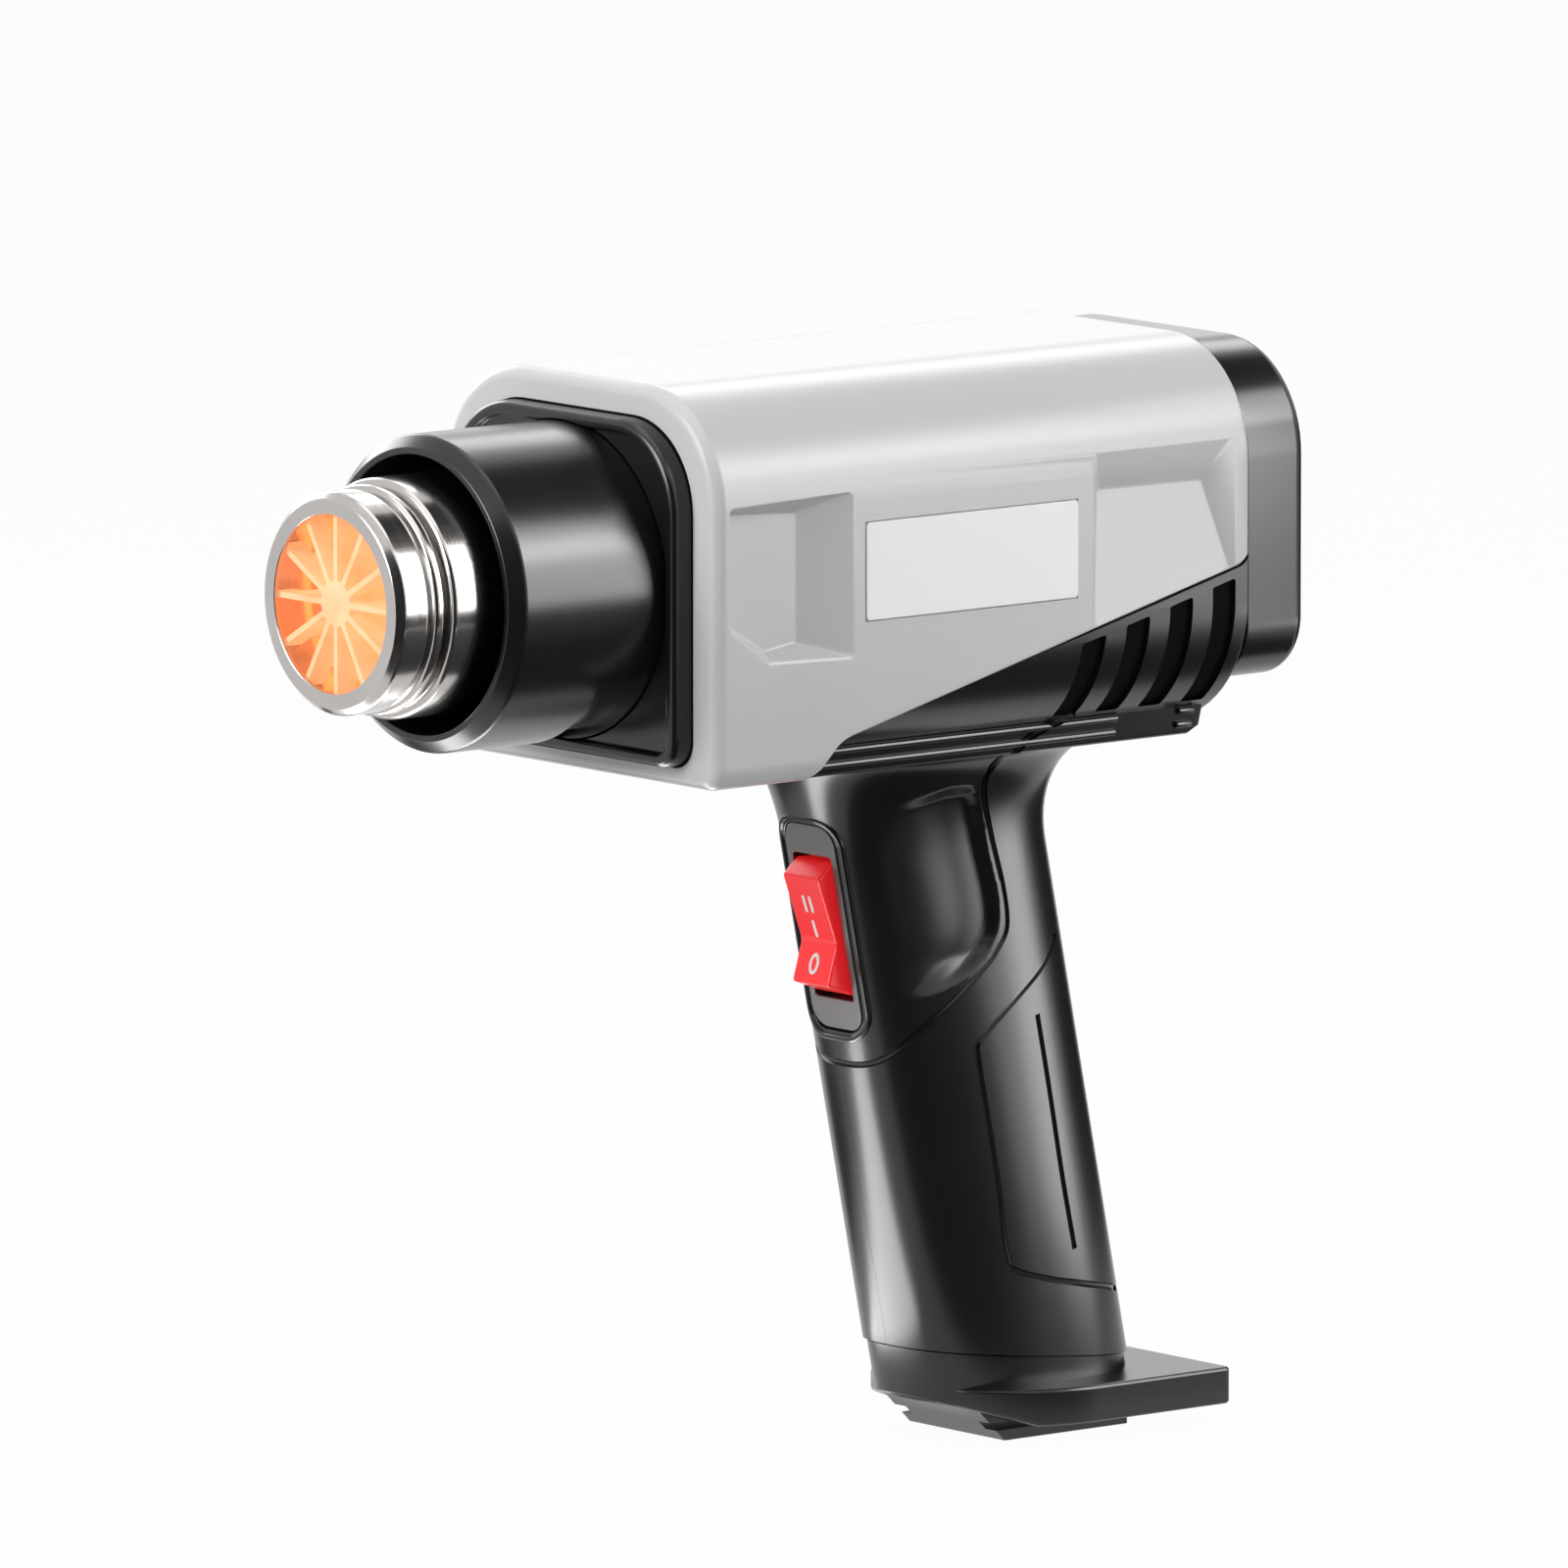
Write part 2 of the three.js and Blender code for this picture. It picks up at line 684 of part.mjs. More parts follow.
function screwHole([x, z]) {
  return turned(screw(clearance, clearance, far), 'y', [x, 0, z], smallSegments);
}

function capScrew(side) {
  const at = [0, side * capScrewOffset, axisHeight - capScrewDrop];
  return turned(capScrewProfile(0, 0, screwHeadHeight), 'x', at, smallSegments);
}

function capScrewProfile(grow, headGrow, headReach) {
  const seat = capRear + capWall;
  const tipEnd = seat + screwLength;
  return [[0, tipEnd + grow], [screwRadius + grow, tipEnd + grow], [screwRadius + grow, seat + grow],
    [screwHead + headGrow, seat + grow], [screwHead + headGrow, seat - headReach], [0, seat - headReach]];
}

function capScrewHole(side) {
  const at = [0, side * capScrewOffset, axisHeight - capScrewDrop];
  return turned(capScrewProfile(clearance, clearance, far), 'x', at, smallSegments);
}

// Housing

function vents() {
  const slots = [];
  for (let i = 0; i < ventCount; i += 1) {
    const rear = bodyRear + ventSetback + i * ventPitch;
    const front = rear + ventWidth;
    slots.push(across(outline([
      [rear, axisHeight - ventBottomDrop],
      [front, axisHeight - ventBottomDrop],
      [front, hemHeight(front) - ventBelowHem],
      [rear, hemHeight(rear) - ventBelowHem],
    ]), halfBody - chineRadius, far));
  }
  return join(...slots);
}

function keel() {
  const rear = bodyRear + keelRear;
  const front = bodyFront - skirtLength - clearance;
  const top = bodyFloor + chineRadius / 3;
  return across(outline([[rear, top], [front, top], [front, bodyFloor], [front - keelRamp, keelFloor],
    [rear + keelSlope, keelFloor], [rear, bodyFloor]]), -keelWidth / 2, keelWidth / 2);
}

function trimRails() {
  const ends = [[bodyRear + keelRear + keelSlope, bodyRear + railBreak[1]],
    [bodyRear + railBreak[0], bodyFront - skirtLength - clearance - railHeight]];
  const bars = ends.flatMap(([rear, front]) => railDrops.map((drop) => block(rear, front,
    keelWidth / 2 - railHeight, keelWidth / 2 + railHeight,
    axisHeight - drop - railWidth / 2, axisHeight - drop + railWidth / 2)));
  return join(...bars);
}

function capShape(inset) {
  return roundedBox(capWidth / 2 - inset, inset - capBottom, capTop - inset, capLowerRadius - inset,
    capShoulder - inset);
}

function cradleRib(x) {
  const rib = block(x - 1.5, x + 1.5, -far, far, axisHeight - bodyBottom, axisHeight - 6);
  return cut(rib, rod(ductRadius + clearance, x - 3, x + 3, 'x', [0, 0, axisHeight], roundSegments));
}

function boardSlots() {
  const ribs = [];
  for (const side of [-1, 1]) {
    const y = side * (boardWidth / 2 - boardRibWidth / 2);
    const rib = block(boardRear - 3, boardFront + 3, y - boardRibWidth / 2, y + boardRibWidth / 2,
      axisHeight - bodyBottom, axisHeight - boardDrop + boardRibHeight);
    ribs.push(cut(rib, block(boardRear - clearance, boardFront + clearance, -far, far,
      axisHeight - boardDrop - clearance, axisHeight + far)));
  }
  return join(...ribs);
}

function capBosses() {
  return join(...[-1, 1].map((side) => {
    const y = side * capScrewOffset;
    const at = [0, y, axisHeight - capScrewDrop];
    const boss = rod(screwBoss, bodyRear, bodyRear + screwLength, 'x', at);
    const wing = block(bodyRear, bodyRear + screwLength, Math.min(y, side * halfBody),
      Math.max(y, side * halfBody), at[2] - 1.2, at[2] + 1.2);
    return join(boss, wing);
  }));
}

function housing() {
  const liner = bodyShape(coverWall + clearance, skirtCorner);
  const hull = alongBarrel(bodyShape(0, chineRadius), bodyRear, bodyFront);
  const chine = join(hull, keel());
  const tongue = alongBarrel(liner, bodyRear, bulkheadFront).intersect(underTongue()).intersect(chine);
  const skin = chine.intersect(underHem(-clearance, clearance));
  const bulkhead = alongBarrel(liner, bulkheadRear, bulkheadFront)
    .intersect(block(-far, far, clearance - padFace, padFace - clearance, -far, far * 2));
  const grip = handleOuter().intersect(seamSide(1));
  const envelope = join(skin, tongue, grip);

  const behind = bodyRear + housingWall;
  const chineRoom = alongBarrel(bodyShape(housingWall, chineRadius), behind, bulkheadRear);
  const upperShape = bodyShape(coverWall + clearance + housingWall, skirtCorner);
  const upperRoom = alongBarrel(upperShape, behind, bulkheadRear).intersect(chineRoom);
  const lowerRoom = cut(chineRoom, block(bodyFront - hemStart - housingWall, far, -far, far, -far, far * 2))
    .intersect(underHem(-clearance - housingWall, clearance));
  const gripRoom = handleInner(housingWall, -far / 10, bodyFloor + 2 * housingWall);
  const rails = trimRails().intersect(underHem(-clearance, clearance));
  const shell = cut(join(envelope, bulkhead, rails, mirrored(rails)), upperRoom, lowerRoom, gripRoom);

  const bosses = housingScrews().map(([x, z]) => rod(screwBoss, -far / 4, far / 4, 'y', [x, 0, z]));
  const backing = onHandle(switchOutline(recessWidth / 2 + recessWall, recessHeight / 2 + recessWall,
    recessCorner, recessFloor - recessWall, recessFloor + 1));
  const fittings = join(cradleRib(ductFront - ductNeckLength - ductConeLength - 4), cradleRib(ductRear + 4),
    boardSlots(), capBosses(), ...bosses, backing).intersect(envelope);

  const recess = onHandle(switchOutline(recessWidth / 2, recessHeight / 2, recessCorner, recessFloor, far));
  const window = onHandle(block(0, far, -rockerWidth / 2 - clearance, rockerWidth / 2 + clearance,
    -windowHalf, windowHalf));
  const nozzleHole = rod(nozzleRadius + clearance, bulkheadRear - 1, bulkheadFront + 1, 'x',
    [0, 0, axisHeight], roundSegments);
  const behindVents = alongBarrel(bodyShape(housingWall + clearance, chineRadius), bodyRear - 1, bodyFront);
  const ventCuts = cut(vents(), behindVents);
  const rearOpening = alongBarrel(capShape(capSpigotInset - clearance), bodyRear - 1,
    bodyRear + capSpigotLength + clearance);
  return cut(join(shell, fittings), recess, window, onHandle(switchBox(clearance)), nozzleHole,
    cut(rearOpening, capBosses()), ventCuts, mirrored(ventCuts), ...housingScrews().map(screwHole),
    capScrewHole(-1), capScrewHole(1));
}

const wholeHousing = housing();

function housingHalf(side) {
  const inner = partingGap / 2;
  const half = side > 0
    ? block(-far, far, inner, far, -far, far * 2)
    : block(-far, far, -far, -inner, -far, far * 2);
  return wholeHousing.intersect(half);
}

// Collar, shroud and nozzle

function collarShape(grow) {
  return roundedBox(collarWidth / 2 + grow, -collarBottom - grow, collarTop + grow, collarLowerRadius,
    collarRadius);
}

function frontCollar() {
  const front = bodyFront + collarReach;
  const body = alongBarrel(collarShape(0), collarRear, front);
  const flangeFront = collarRear + collarFlange;
  const flangeHalf = Math.min(collarWidth / 2 + collarLip, padFace - clearance);
  const flange = alongBarrel(roundedBox(flangeHalf, -collarBottom - collarLip / 2, collarTop + collarLip,
    collarLowerRadius, collarRadius), collarRear, flangeFront);
  const bore = rod(shroudRadius + clearance, collarRear - 1, front + 1, 'x', [0, 0, axisHeight],
    roundSegments);
  const inset = collarPanelInset;
  const panel = alongBarrel(roundedBox(collarWidth / 2 - inset, inset - collarBottom, collarTop - inset,
    collarLowerRadius - inset, collarRadius - inset), front - collarPanelDepth, front + 1);
  return cut(join(body, flange), bore, panel);
}

function nozzleShroud() {
  const lip = (shroudRadius + shroudBore * 2) / 3;
  const sleeve = onBarrel([
    [shroudBore, shroudRear], [shroudRadius + shroudFlangeLip, shroudRear],
    [shroudRadius + shroudFlangeLip, shroudFlangeFront], [shroudRadius, shroudFlangeFront],
    [shroudRadius, shroudFront - shroudChamfer], [lip, shroudFront], [shroudBore, shroudFront],
    [shroudBore, shroudRear],
  ]);
  const front = bodyFront + collarReach + reliefLength;
  const wall = (shroudRadius - shroudBore) / 2;
  const band = tube(shroudRadius - wall, shroudRadius + 1, bodyFront + collarReach - collarPanelDepth, front);
  const sector = block(-far, far, 0, far, axisHeight - far, axisHeight - shroudRadius / 2);
  return cut(sleeve, band.intersect(sector));
}

function nozzleTube() {
  const neck = tip - nozzleFrontLength;
  const barrel = neck - nozzleNeckLength;
  const groove = nozzleFrontRadius - nozzleGroove;
  const bore = nozzleRadius - nozzleWall;
  const frontBore = groove - nozzleWall;
  const lipBore = tipRadius - nozzleLip;
  const bevel = nozzleFrontRadius - tipRadius;
  return onBarrel([
    [lipBore, tip], [tipRadius, tip], [nozzleFrontRadius, tip - bevel], [nozzleFrontRadius, neck],
    [groove, neck - nozzleGroove], [nozzleBeadRadius, neck - nozzleNeckLength / 2],
    [groove, barrel + nozzleGroove], [nozzleRadius, barrel],
    [nozzleRadius, nozzleFlangeFront], [nozzleRadius + nozzleFlangeLip, nozzleFlangeFront],
    [nozzleRadius + nozzleFlangeLip, nozzleRear], [bore, nozzleRear], [bore, barrel - nozzleWall],
    [frontBore, barrel - nozzleWall], [frontBore, tip - nozzleWall],
    [lipBore, tip - nozzleWall], [lipBore, tip],
  ]);
}

// Heater

const sleeveOuter = nozzleRadius - nozzleWall - clearance;
const sleeveInner = sleeveOuter - sleeveWall;
const sleeveFront = tip - nozzleFrontLength - nozzleNeckLength - nozzleWall - clearance;
const frameFront = tip - nozzleWall - clearance;
const coilFront = frameFront - frameTipLength;
const frameRear = nozzleRear + coilWire * 2;
const coilRear = frameRear + frameTailLength;

function micaSleeve() {
  return tube(sleeveInner, sleeveOuter, nozzleRear, sleeveFront);
}

function star(radius, rear, front) {
  const points = [];
  for (let i = 0; i < vaneCount; i += 1) {
    const turn = (i / vaneCount) * Math.PI * 2;
    const half = vaneThickness / 2;
    const root = Math.sqrt(frameHubRadius ** 2 - half ** 2);
    for (const [out, side] of [[root, -half], [radius, -half], [radius, half], [root, half]]) {
      points.push([out * Math.cos(turn) - side * Math.sin(turn),
        out * Math.sin(turn) + side * Math.cos(turn)]);
    }
  }
  return alongBarrel(outline(points), rear, front);
}

function heaterFrame() {
  const tipStar = star(nozzleFrontRadius - nozzleGroove - nozzleWall - clearance, coilFront, frameFront);
  const coilStar = star(coilRadius - coilWire - clearance, coilRear - 1, coilFront + 1);
  const tailStar = star(sleeveInner - clearance, frameRear, coilRear);
  const stub = rod(frameHubRadius, frameRear - frameHubStub, frameRear + 1, 'x', [0, 0, axisHeight]);
  return join(tipStar, coilStar, tailStar, stub);
}

// One unbroken wire: a short straight end, the turns, and a straight end again
function coilPoints() {
  const straight = coilWire * 2;
  const front = coilFront - clearance;
  const rear = coilRear + clearance;
  const woundFront = front - straight * 2;
  const woundRear = rear + straight * 2;
  const steps = coilTurns * vaneCount;
  const at = (x, turn) => new THREE.Vector3(
    x, coilRadius * Math.cos(turn), axisHeight + coilRadius * Math.sin(turn));
  const points = [at(front, 0), at(front - straight, 0)];
  for (let i = 0; i <= steps; i += 1) {
    points.push(at(woundFront + (woundRear - woundFront) * i / steps, (i / vaneCount) * Math.PI * 2));
  }
  points.push(at(rear + straight, 0), at(rear, 0));
  return points;
}

// A tube of few sides swept along points, with its section square to the path
function sweptTube(points, radius, sides) {
  const path = new THREE.CurvePath();
  for (let i = 1; i < points.length; i += 1) path.add(new THREE.LineCurve3(points[i - 1], points[i]));
  const frames = path.computeFrenetFrames(1, false);
  let normal = frames.normals[0].clone();
  const vertices = [];
  points.forEach((point, i) => {
    const ahead = points[Math.min(i + 1, points.length - 1)];
    const behind = points[Math.max(i - 1, 0)];
    const tangent = ahead.clone().sub(behind).normalize();
    normal = normal.sub(tangent.clone().multiplyScalar(normal.dot(tangent))).normalize();
    const side = tangent.clone().cross(normal);
    for (let k = 0; k < sides; k += 1) {
      const turn = (k / sides) * Math.PI * 2;
      vertices.push(point.clone().addScaledVector(normal, radius * Math.cos(turn))
        .addScaledVector(side, radius * Math.sin(turn)));
    }
  });
  const faces = [];
  const last = (points.length - 1) * sides;
  for (let k = 1; k < sides - 1; k += 1) faces.push([0, k + 1, k], [last, last + k, last + k + 1]);
  for (let i = 0; i < points.length - 1; i += 1) {
    for (let k = 0; k < sides; k += 1) {
      const a = i * sides + k;
      const b = i * sides + (k + 1) % sides;
      faces.push([a, b, a + sides], [b, b + sides, a + sides]);
    }
  }
  const geometry = new THREE.BufferGeometry().setFromPoints(vertices);
  geometry.setIndex(faces.flat());
  return solid(geometry);
}

// Least gap between turns, measured on points at least half a turn apart
function leastCoilGap(points) {
  let least = Infinity;
  for (let i = 0; i < points.length; i += 1) {
    for (let k = i + vaneCount / 2; k < points.length; k += 1) {
      least = Math.min(least, points[i].distanceTo(points[k]) - 2 * coilWire);
    }
  }
  return least;
}

function heatingCoil() {
  const points = coilPoints();
  console.log(`heating coil least gap to itself ${leastCoilGap(points).toFixed(2)} mm`);
  return sweptTube(points, coilWire, 5);
}

const baseRadius = nozzleRadius - nozzleWall - clearance;
const baseFront = ductFront - clearance;
const baseRear = baseFront - baseThickness;

function heaterBase() {
  const rim = tube(baseRadius - baseRim, baseRadius, baseRear, baseFront);
  const half = baseArm / 2;
  const arms = [0, 90].map((degrees) => aboutBarrel(
    block(baseRear, baseFront, -baseRadius + 1, baseRadius - 1, axisHeight - half, axisHeight + half),
    degrees));
  const hub = rod(baseHubRadius, baseRear, baseFront, 'x', [0, 0, axisHeight], roundSegments);
  const socket = rod(frameHubRadius + clearance, frameRear - frameHubStub - clearance, baseFront + 1, 'x',
    [0, 0, axisHeight], smallSegments);
  return cut(join(rim, ...arms, hub), socket);
}

function thermalCutout() {
  const front = baseRear - clearance;
  const middle = (baseRadius + baseHubRadius - baseRim) / 2;
  return block(front - cutoutHeight, front, middle - cutoutLength / 2, middle + cutoutLength / 2,
    axisHeight - cutoutWidth / 2, axisHeight + cutoutWidth / 2);
}

// Air duct, fan and motor

const ductBore = ductRadius - ductWall;

function airDuct() {
  const neckRear = ductFront - ductNeckLength;
  const coneRear = neckRear - ductConeLength;
  const seat = baseRadius + clearance;
  const seatRear = baseRear - clearance;
  const shell = onBarrel([
    [seat, ductFront], [nozzleRadius + nozzleFlangeLip, ductFront],
    [nozzleRadius + nozzleFlangeLip, neckRear],
    [ductRadius, coneRear], [ductRadius, ductRear], [ductBore, ductRear], [ductBore, coneRear],
    [seat - ductStep, Math.min(neckRear, seatRear - 1)], [seat - ductStep, seatRear], [seat, seatRear],
    [seat, ductFront],
  ]);
  const ringBore = motorRadius + clearance;
  const carrierFront = ductRear + carrierLength;
  const ring = tube(ringBore, ringBore + carrierWall, ductRear, carrierFront);
  const arms = Array.from({ length: carrierArms }, (_, i) => aboutBarrel(
    block(ductRear, carrierFront, -carrierArm / 2, carrierArm / 2,
      axisHeight + ringBore + carrierWall / 2, axisHeight + ductBore + ductWall / 2),
    (i * 360) / carrierArms + 45));
  return cut(join(shell, ring, ...arms), heaterLeadHole(-1), heaterLeadHole(1));
}

function fanImpeller() {
  const rear = fanFront - fanLength;
  const hub = rod(fanHubRadius, rear, fanFront, 'x', [0, 0, axisHeight], roundSegments);
  const sweep = rod(ductBore - fanRunningGap, rear, fanFront, 'x', [0, 0, axisHeight], roundSegments);
  const blades = Array.from({ length: fanBlades }, (_, i) => {
    const blade = new THREE.BoxGeometry(bladeThickness, far / 8, ductBore);
    blade.rotateZ(THREE.MathUtils.degToRad(fanPitch));
    blade.translate((fanFront + rear) / 2, 0, axisHeight + fanHubRadius / 2 + ductBore / 2);
    return aboutBarrel(solid(blade), (i * 360) / fanBlades);
  });
  const bore = rod(shaftRadius + clearance, rear - 1, fanFront + 1, 'x', [0, 0, axisHeight]);
  return cut(join(hub, join(...blades).intersect(sweep)), bore);
}

const canBore = motorRadius - motorWall;
const endCapFront = motorRear + endCapThickness;
const frontBushFront = motorFront + 2 * clearance;
const rotorFront = frontBushFront - bushLength - rotorFrontGap;
const rotorRear = endCapFront + rotorRearGap + commutatorLength;

function motorCan() {
  const seat = bushRadius + clearance;
  return onBarrel([[seat, motorFront], [motorRadius, motorFront], [motorRadius, motorRear],
    [canBore, motorRear],
    [canBore, motorFront - motorWall], [seat, motorFront - motorWall], [seat, motorFront]]);
}

function motorEndCap() {
  return tube(bushRadius + clearance, canBore - clearance, motorRear, endCapFront);
}

function bush(front) {
  return onBarrel([[shaftRadius + clearance, front - bushLength], [bushRadius, front - bushLength],
    [bushRadius, front], [shaftRadius + clearance, front], [shaftRadius + clearance, front - bushLength]],
  smallSegments);
}

function motorShaft() {
  return rod(shaftRadius, motorRear - shaftStub, fanFront - 1, 'x', [0, 0, axisHeight]);
}

const magnetInner = canBore - clearance - magnetThickness;

function motorMagnet(side) {
  const half = THREE.MathUtils.degToRad(magnetSpan / 2);
  const shape = new THREE.Shape();
  shape.absarc(0, 0, canBore - clearance, -half, half);
  shape.absarc(0, 0, magnetInner, half, -half, true);
  const arc = alongBarrel(shape, rotorRear - magnetOverhang, rotorFront + magnetOverhang);
  return side > 0 ? arc : mirrored(arc);
}

function motorRotor() {
  const front = rotorFront;
  const rear = rotorRear;
  const bore = shaftRadius + clearance;
  const radius = magnetInner - rotorAirGap;
  const core = onBarrel([[bore, rear - commutatorLength], [commutatorRadius, rear - commutatorLength],
    [commutatorRadius, rear], [radius, rear], [radius, front], [bore, front],
    [bore, rear - commutatorLength]]);
  const slots = [0, 120, 240].map((degrees) => aboutBarrel(
    block(rear - 1, front + 1, -rotorSlot / 2, rotorSlot / 2, axisHeight + commutatorRadius + 1,
      axisHeight + far),
    degrees));
  return cut(core, ...slots);
}

// Rear cap and control board

function rearCap() {
  const edge = { depth: capDepth * 2, bevelEnabled: true, bevelThickness: capEdge, bevelSize: capEdge,
    bevelOffset: -capEdge, bevelSegments: 2, curveSegments: cornerSteps };
  const rounded = new THREE.ExtrudeGeometry(capShape(0), edge).applyMatrix4(acrossBarrel);
  const body = solid(rounded.translate(capRear + capEdge, 0, axisHeight))
    .intersect(block(capRear - 1, capFront, -far, far, -far, far * 2));
  const spigotEnd = bodyRear + capSpigotLength;
  const spigot = alongBarrel(capShape(capSpigotInset), capFront - capWall, spigotEnd);
  const room = alongBarrel(capShape(capSpigotInset + capWall), capRear + capWall, spigotEnd + 1);
  const louvres = Array.from({ length: louvreCount }, (_, i) => {
    const middle = axisHeight + (capTop - capBottom) / 2;
    const z = middle + (i - (louvreCount - 1) / 2) * louvrePitch + louvrePitch / 2;
    return block(capRear - 1, capRear + capWall + 1, -louvreWidth / 2, louvreWidth / 2,
      z - louvreHeight / 2, z + louvreHeight / 2);
  });
  const clearOfBosses = [-1, 1].map((side) => rod(screwBoss + clearance, capFront, spigotEnd + 1, 'x',
    [0, side * capScrewOffset, axisHeight - capScrewDrop]));
  const clearOfWings = [-1, 1].map((side) => block(capFront, spigotEnd + 1,
    Math.min(side * capScrewOffset, side * halfBody), Math.max(side * capScrewOffset, side * halfBody),
    axisHeight - capScrewDrop - 1.2 - clearance, axisHeight - capScrewDrop + 1.2 + clearance));
  return cut(join(body, spigot), room, ...louvres, ...clearOfBosses, ...clearOfWings,
    capScrewHole(-1), capScrewHole(1));
}

function controlBoard() {
  return block(boardRear, boardFront, -boardWidth / 2, boardWidth / 2, axisHeight - boardDrop,
    axisHeight - boardDrop + boardHeight);
}

const boardMiddle = axisHeight - boardDrop + boardHeight / 2;

function heatSink() {
  const back = boardFront + clearance;
  const sinkWidth = boardWidth * sinkShare;
  const left = boardWidth / 2 - boardSideGap - sinkBase;
  const bottom = boardMiddle - sinkHeight / 2 + 6;
  const base = block(back, back + sinkBase, left - sinkWidth, left, bottom, bottom + sinkHeight);
  const fins = Array.from({ length: sinkFins }, (_, i) => {
    const y = left - sinkWidth + (i * (sinkWidth - sinkFin)) / (sinkFins - 1);
    return block(back, back + sinkDepth, y, y + sinkFin, bottom, bottom + sinkHeight);
  });
  return join(base, ...fins);
}

function boardCapacitor() {
  const back = boardFront + clearance;
  return rod(capacitorRadius, back, back + capacitorLength, 'x',
    [0, -boardWidth / 4, boardMiddle + capacitorRadius], smallSegments);
}

// Battery shoe

function shoePlan() {
  const half = shoeWidth / 2;
  const shape = new THREE.Shape();
  shape.moveTo(-shoeHeel, -half);
  shape.lineTo(shoeNose - shoeNoseLength, -half);
  shape.absellipse(shoeNose - shoeNoseLength, 0, shoeNoseLength, half, -Math.PI / 2, Math.PI / 2);
  shape.lineTo(-shoeHeel, half);
  return shape;
}

function bladeBlank(side, grow, low, high) {
  const y = side * (bladeSpacing / 2);
  return block(blockX - bladeLength / 2 - grow, blockX + bladeLength / 2 + grow,
    y - bladeGauge / 2 - grow, y + bladeGauge / 2 + grow, low, high);
}

const blockBottom = shoeFloor + clearance;
const blockTop = blockBottom + blockHeight;

function batteryShoe() {
  const plate = solid(new THREE.ExtrudeGeometry(shoePlan(),
    { depth: shoeTop - shoeRail, bevelEnabled: false, curveSegments: cornerSteps * 2 })
    .translate(0, 0, shoeRail));
  const chinStart = shoeNose - chinLength;
  const chin = across(outline([[chinStart, shoeRail], [shoeNose + chinLength, shoeRail + 2 * chinRise],
    [shoeNose + chinLength, -far], [chinStart, -far]]), -far, far);
  const rails = across(outline([[-railBlockHeel, 0], [railBlockNose, 0],
    [railBlockNose + railBlockSlope, shoeRail + chinRise], [-railBlockHeel, shoeRail + chinRise]]),
  -railBlockWidth / 2, railBlockWidth / 2);
  const groove = block(-far, far, railBlockWidth / 2 - railGroove, far, railFlange, shoeRail);
  const stub = handleForm(shoeStubStep, [[null, shoeRail + 1], [0, shoeRail + 1], [0, seamHeight * 2],
    [null, seamHeight * 2]]).intersect(seamSide(-1));
  const spigotTop = seamHeight + spigotHeight;
  const spigot = handleInner(housingWall + clearance, shoeFloor + 1, spigotTop);
  const room = handleInner(housingWall + clearance + spigotWall, shoeFloor, spigotTop + 1);
  const slots = [-1, 1].map((side) => bladeBlank(side, (bladeSlot - bladeGauge) / 2, -1, shoeFloor + 1));
  const lower = join(cut(join(plate, stub), chin), cut(rails, groove, mirrored(groove)), spigot);
  return cut(lower, room, ...slots);
}

function terminalBlock() {
  const body = block(blockX - blockLength / 2, blockX + blockLength / 2, -blockWidth / 2, blockWidth / 2,
    blockBottom, blockTop);
  return cut(body, ...[-1, 1].map((side) => bladeBlank(side, clearance, 0, axisHeight)));
}

function contactBlade(side) {
  return bladeBlank(side, 0, bladeFoot, blockTop + bladeTail);
}

// Leads held inside the housing, as points chosen by hand.
// Each leaves and arrives straight and square for one lead diameter.

function lead(points) {
  const path = points.map(([x, y, z]) => new THREE.Vector3(x, y, z));
  const middle = new THREE.CatmullRomCurve3(path.slice(1, -1)).getPoints((points.length - 3) * 3);
  return sweptTube([path[0], ...middle, path[path.length - 1]], leadRadius, leadSides);
}

const leadEnd = leadRadius * 2 + clearance;

// Shares of the handle's half depth and half width, and of its height
function inHandle(forward, sideways, up) {
  const z = up * bodyFloor;
  return [handleCentre(z) + (forward * handleDepth) / 2, (sideways * handleWidth) / 2, z];
}

// Shares of the switch's depth behind its back, of the handle's half width, and of the switch's half height
function behindSwitch(back, sideways, up) {
  return onSwitch(switchBack - back * switchDepth, (sideways * handleWidth) / 2, up * switchHalfHeight);
}

// Shares of the cover's length ahead of its rear end, of the half width, and of the depth below the axis
function inBody(forward, sideways, down) {
  return [bodyRear + forward * coverLength, sideways * halfBody, axisHeight - down * bodyBottom];
}

function onSwitch(out, y, up) {
  const z = axisHeight - switchDrop;
  return [handleCentre(z) + out * Math.cos(lean) + up * Math.sin(lean), y,
    z - out * Math.sin(lean) + up * Math.cos(lean)];
}

function roundBarrel(x, radius, degrees) {
  const turn = THREE.MathUtils.degToRad(degrees);
  return [x, radius * Math.sin(turn), axisHeight + radius * Math.cos(turn)];
}

function fromBlade(side) {
  const y = (side * bladeSpacing) / 2;
  const top = blockTop + bladeTail;
  return [[blockX, y, top + clearance], [blockX, y, top + leadEnd]];
}

function fromTerminal(row) {
  const back = switchBack + switchWall + 1 - terminalLength;
  const up = row * terminalPitch;
  return [onSwitch(back - clearance, 0, up), onSwitch(back - leadEnd, 0, up)];
}

// Shares of the board's half width and of its height
function toBoard(sideways, up) {
  const y = (sideways * boardWidth) / 2;
  const z = axisHeight - boardDrop + up * boardHeight;
  return [[boardFront + leadEnd, y, z], [boardFront + clearance, y, z]];
}

function positiveLead() {
  return lead([...fromBlade(1), inHandle(0.06, 0.47, 0.206), inHandle(0.17, 0.41, 0.27),
    inHandle(0.2, 0.3, 0.4),
    inHandle(0.17, 0.18, 0.51), inHandle(0, 0.09, 0.593), behindSwitch(0.93, 0.03, -0.81),
    behindSwitch(0.83, 0, -0.56), ...fromTerminal(-1).reverse()]);
}

